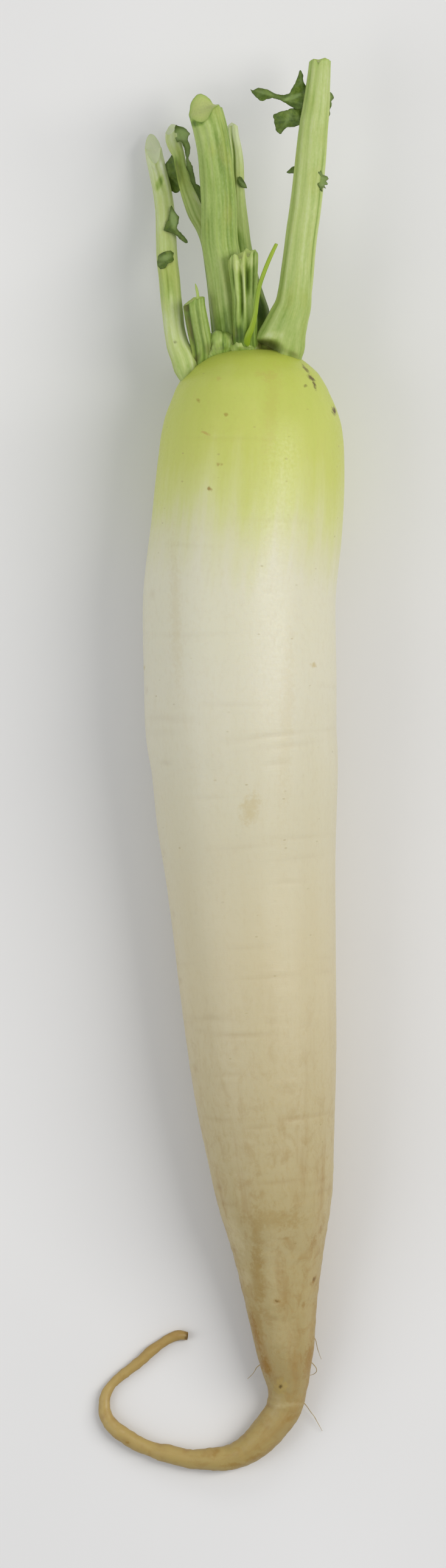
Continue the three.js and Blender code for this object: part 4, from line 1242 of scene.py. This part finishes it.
hairSpec = {
    "radius": 0.13,  # where it leaves the skin
    "step": 0.25,
    "sides": 9,
    "paths": {
        # x, y, z in mm; each starts inside the skin
        "rootHairRight": [
            (22.6, -149, 8.5), (24.3, -150.4, 7.6), (25.3, -153.4, 5.2), (26.3, -156.6, 3.4),
        ],
        "rootHairLoop": [
            (21.8, -156.6, 6.4), (24, -157.6, 5.4), (25, -159.6, 4), (24, -160.6, 3.6), (22, -160.8, 4.6),
        ],
        "rootHairLong": [(19.6, -166.4, 4), (22, -168.4, 3.2), (24.4, -171.8, 1.6), (26.6, -175.6, 0.5)],
        "rootHairLeft": [(11.6, -156.9, 6.8), (9.6, -158.4, 5.2), (8.2, -160.4, 3), (6.9, -161.8, 1.4)],
    },
}


def hairMaterial():
    material, tree, skin = startMaterial("hairSkin", {"Roughness": 0.6})
    mottled = cloud(fromMesh(tree, "straight")[0], 0.9, 3, 0.6)
    colour = ramp(mottled, [(0.3, rgb(150, 126, 70)), (0.7, rgb(190, 168, 112))])
    wire(skin, colour=colour, normal=bumped((mottled, 0.4, 0.05)))
    return material


def makeHairs():
    material = hairMaterial()
    sides = hairSpec["sides"]
    for i, (name, path) in enumerate(hairSpec["paths"].items()):
        last = len(path) - 1
        thin = [hairSpec["radius"] * (1 - 0.6 * k / last) for k in range(len(path))]
        grid = gridAlong([(*p, r, r) for p, r in zip(path, thin)], hairSpec["step"], sides)
        straight = np.stack([grid.cos, grid.sin, grid.s + 20 * i], axis=-1)
        wobble = 0.12 * lumps(np.repeat(grid.centre[:, None], sides, axis=1), 1.6, 80 + i)
        points = placed(grid, grid.cos, grid.sin, 0.03 * lumps(straight, 1.0, 81))
        points[..., 0] += wobble
        points[..., 2] = np.maximum(points[..., 2], 0)
        piece = skinned(name, points, material, straight=straight)


def makeTable():
    material, tree, skin = startMaterial("paleTable", {"Roughness": 0.6, "Specular IOR Level": 0.3})
    coords = node(tree, "ShaderNodeTexCoord").outputs["Object"]
    mottled = cloud(coords, 9.0, 3, 0.5)
    colour = tableSetup["colour"]
    paper = ramp(mottled, [(0.3, tuple(0.97 * c for c in colour)), (0.7, colour)])
    wire(skin, colour=paper)
    half = tableSetup["size"] / 2
    mesh = bpy.data.meshes.new("table")
    corners = [(x, y, -0.1 * mm) for x, y in ((-half, -half), (half, -half), (half, half), (-half, half))]
    mesh.from_pydata(corners, [], [(0, 1, 2, 3)])
    mesh.materials.append(material)
    table = added("table", mesh)


makeCamera()
makeLights()
makeRoom()
makeTable()
print("studio set")

makeRoot()
stalkSkin = stalkMaterial()
makeStalk("rightStalk", "petiole_right", rightStalk, stalkSkin)
makeStalk("centreStalk", "petiole_centre", centreStalk, stalkSkin)
makeStalk("backStalk", "petiole_centre_back", backStalk, stalkSkin)
makeStalk("leftInnerStalk", "petiole_left_inner", leftInnerStalk, stalkSkin)
makeStalk("leftOuterStalk", "petiole_left_outer", leftOuterStalk, stalkSkin)
makeStalk("frontStub", "stub_front", frontStub, stalkSkin)
makeLeftStub(stalkSkin)
makeShoot()
makeScales(stalkSkin)
makeNeck(stalkSkin)
print("stalks, stubs and shoot made")
leafSkin = leafMaterial()
for i, (nodeName, spec) in enumerate(leafScraps.items()):
    makeLeaf(nodeName, spec, 100 + 7 * i, leafSkin)
print("leaf scraps made")
makeHairs()
print("side roots made")
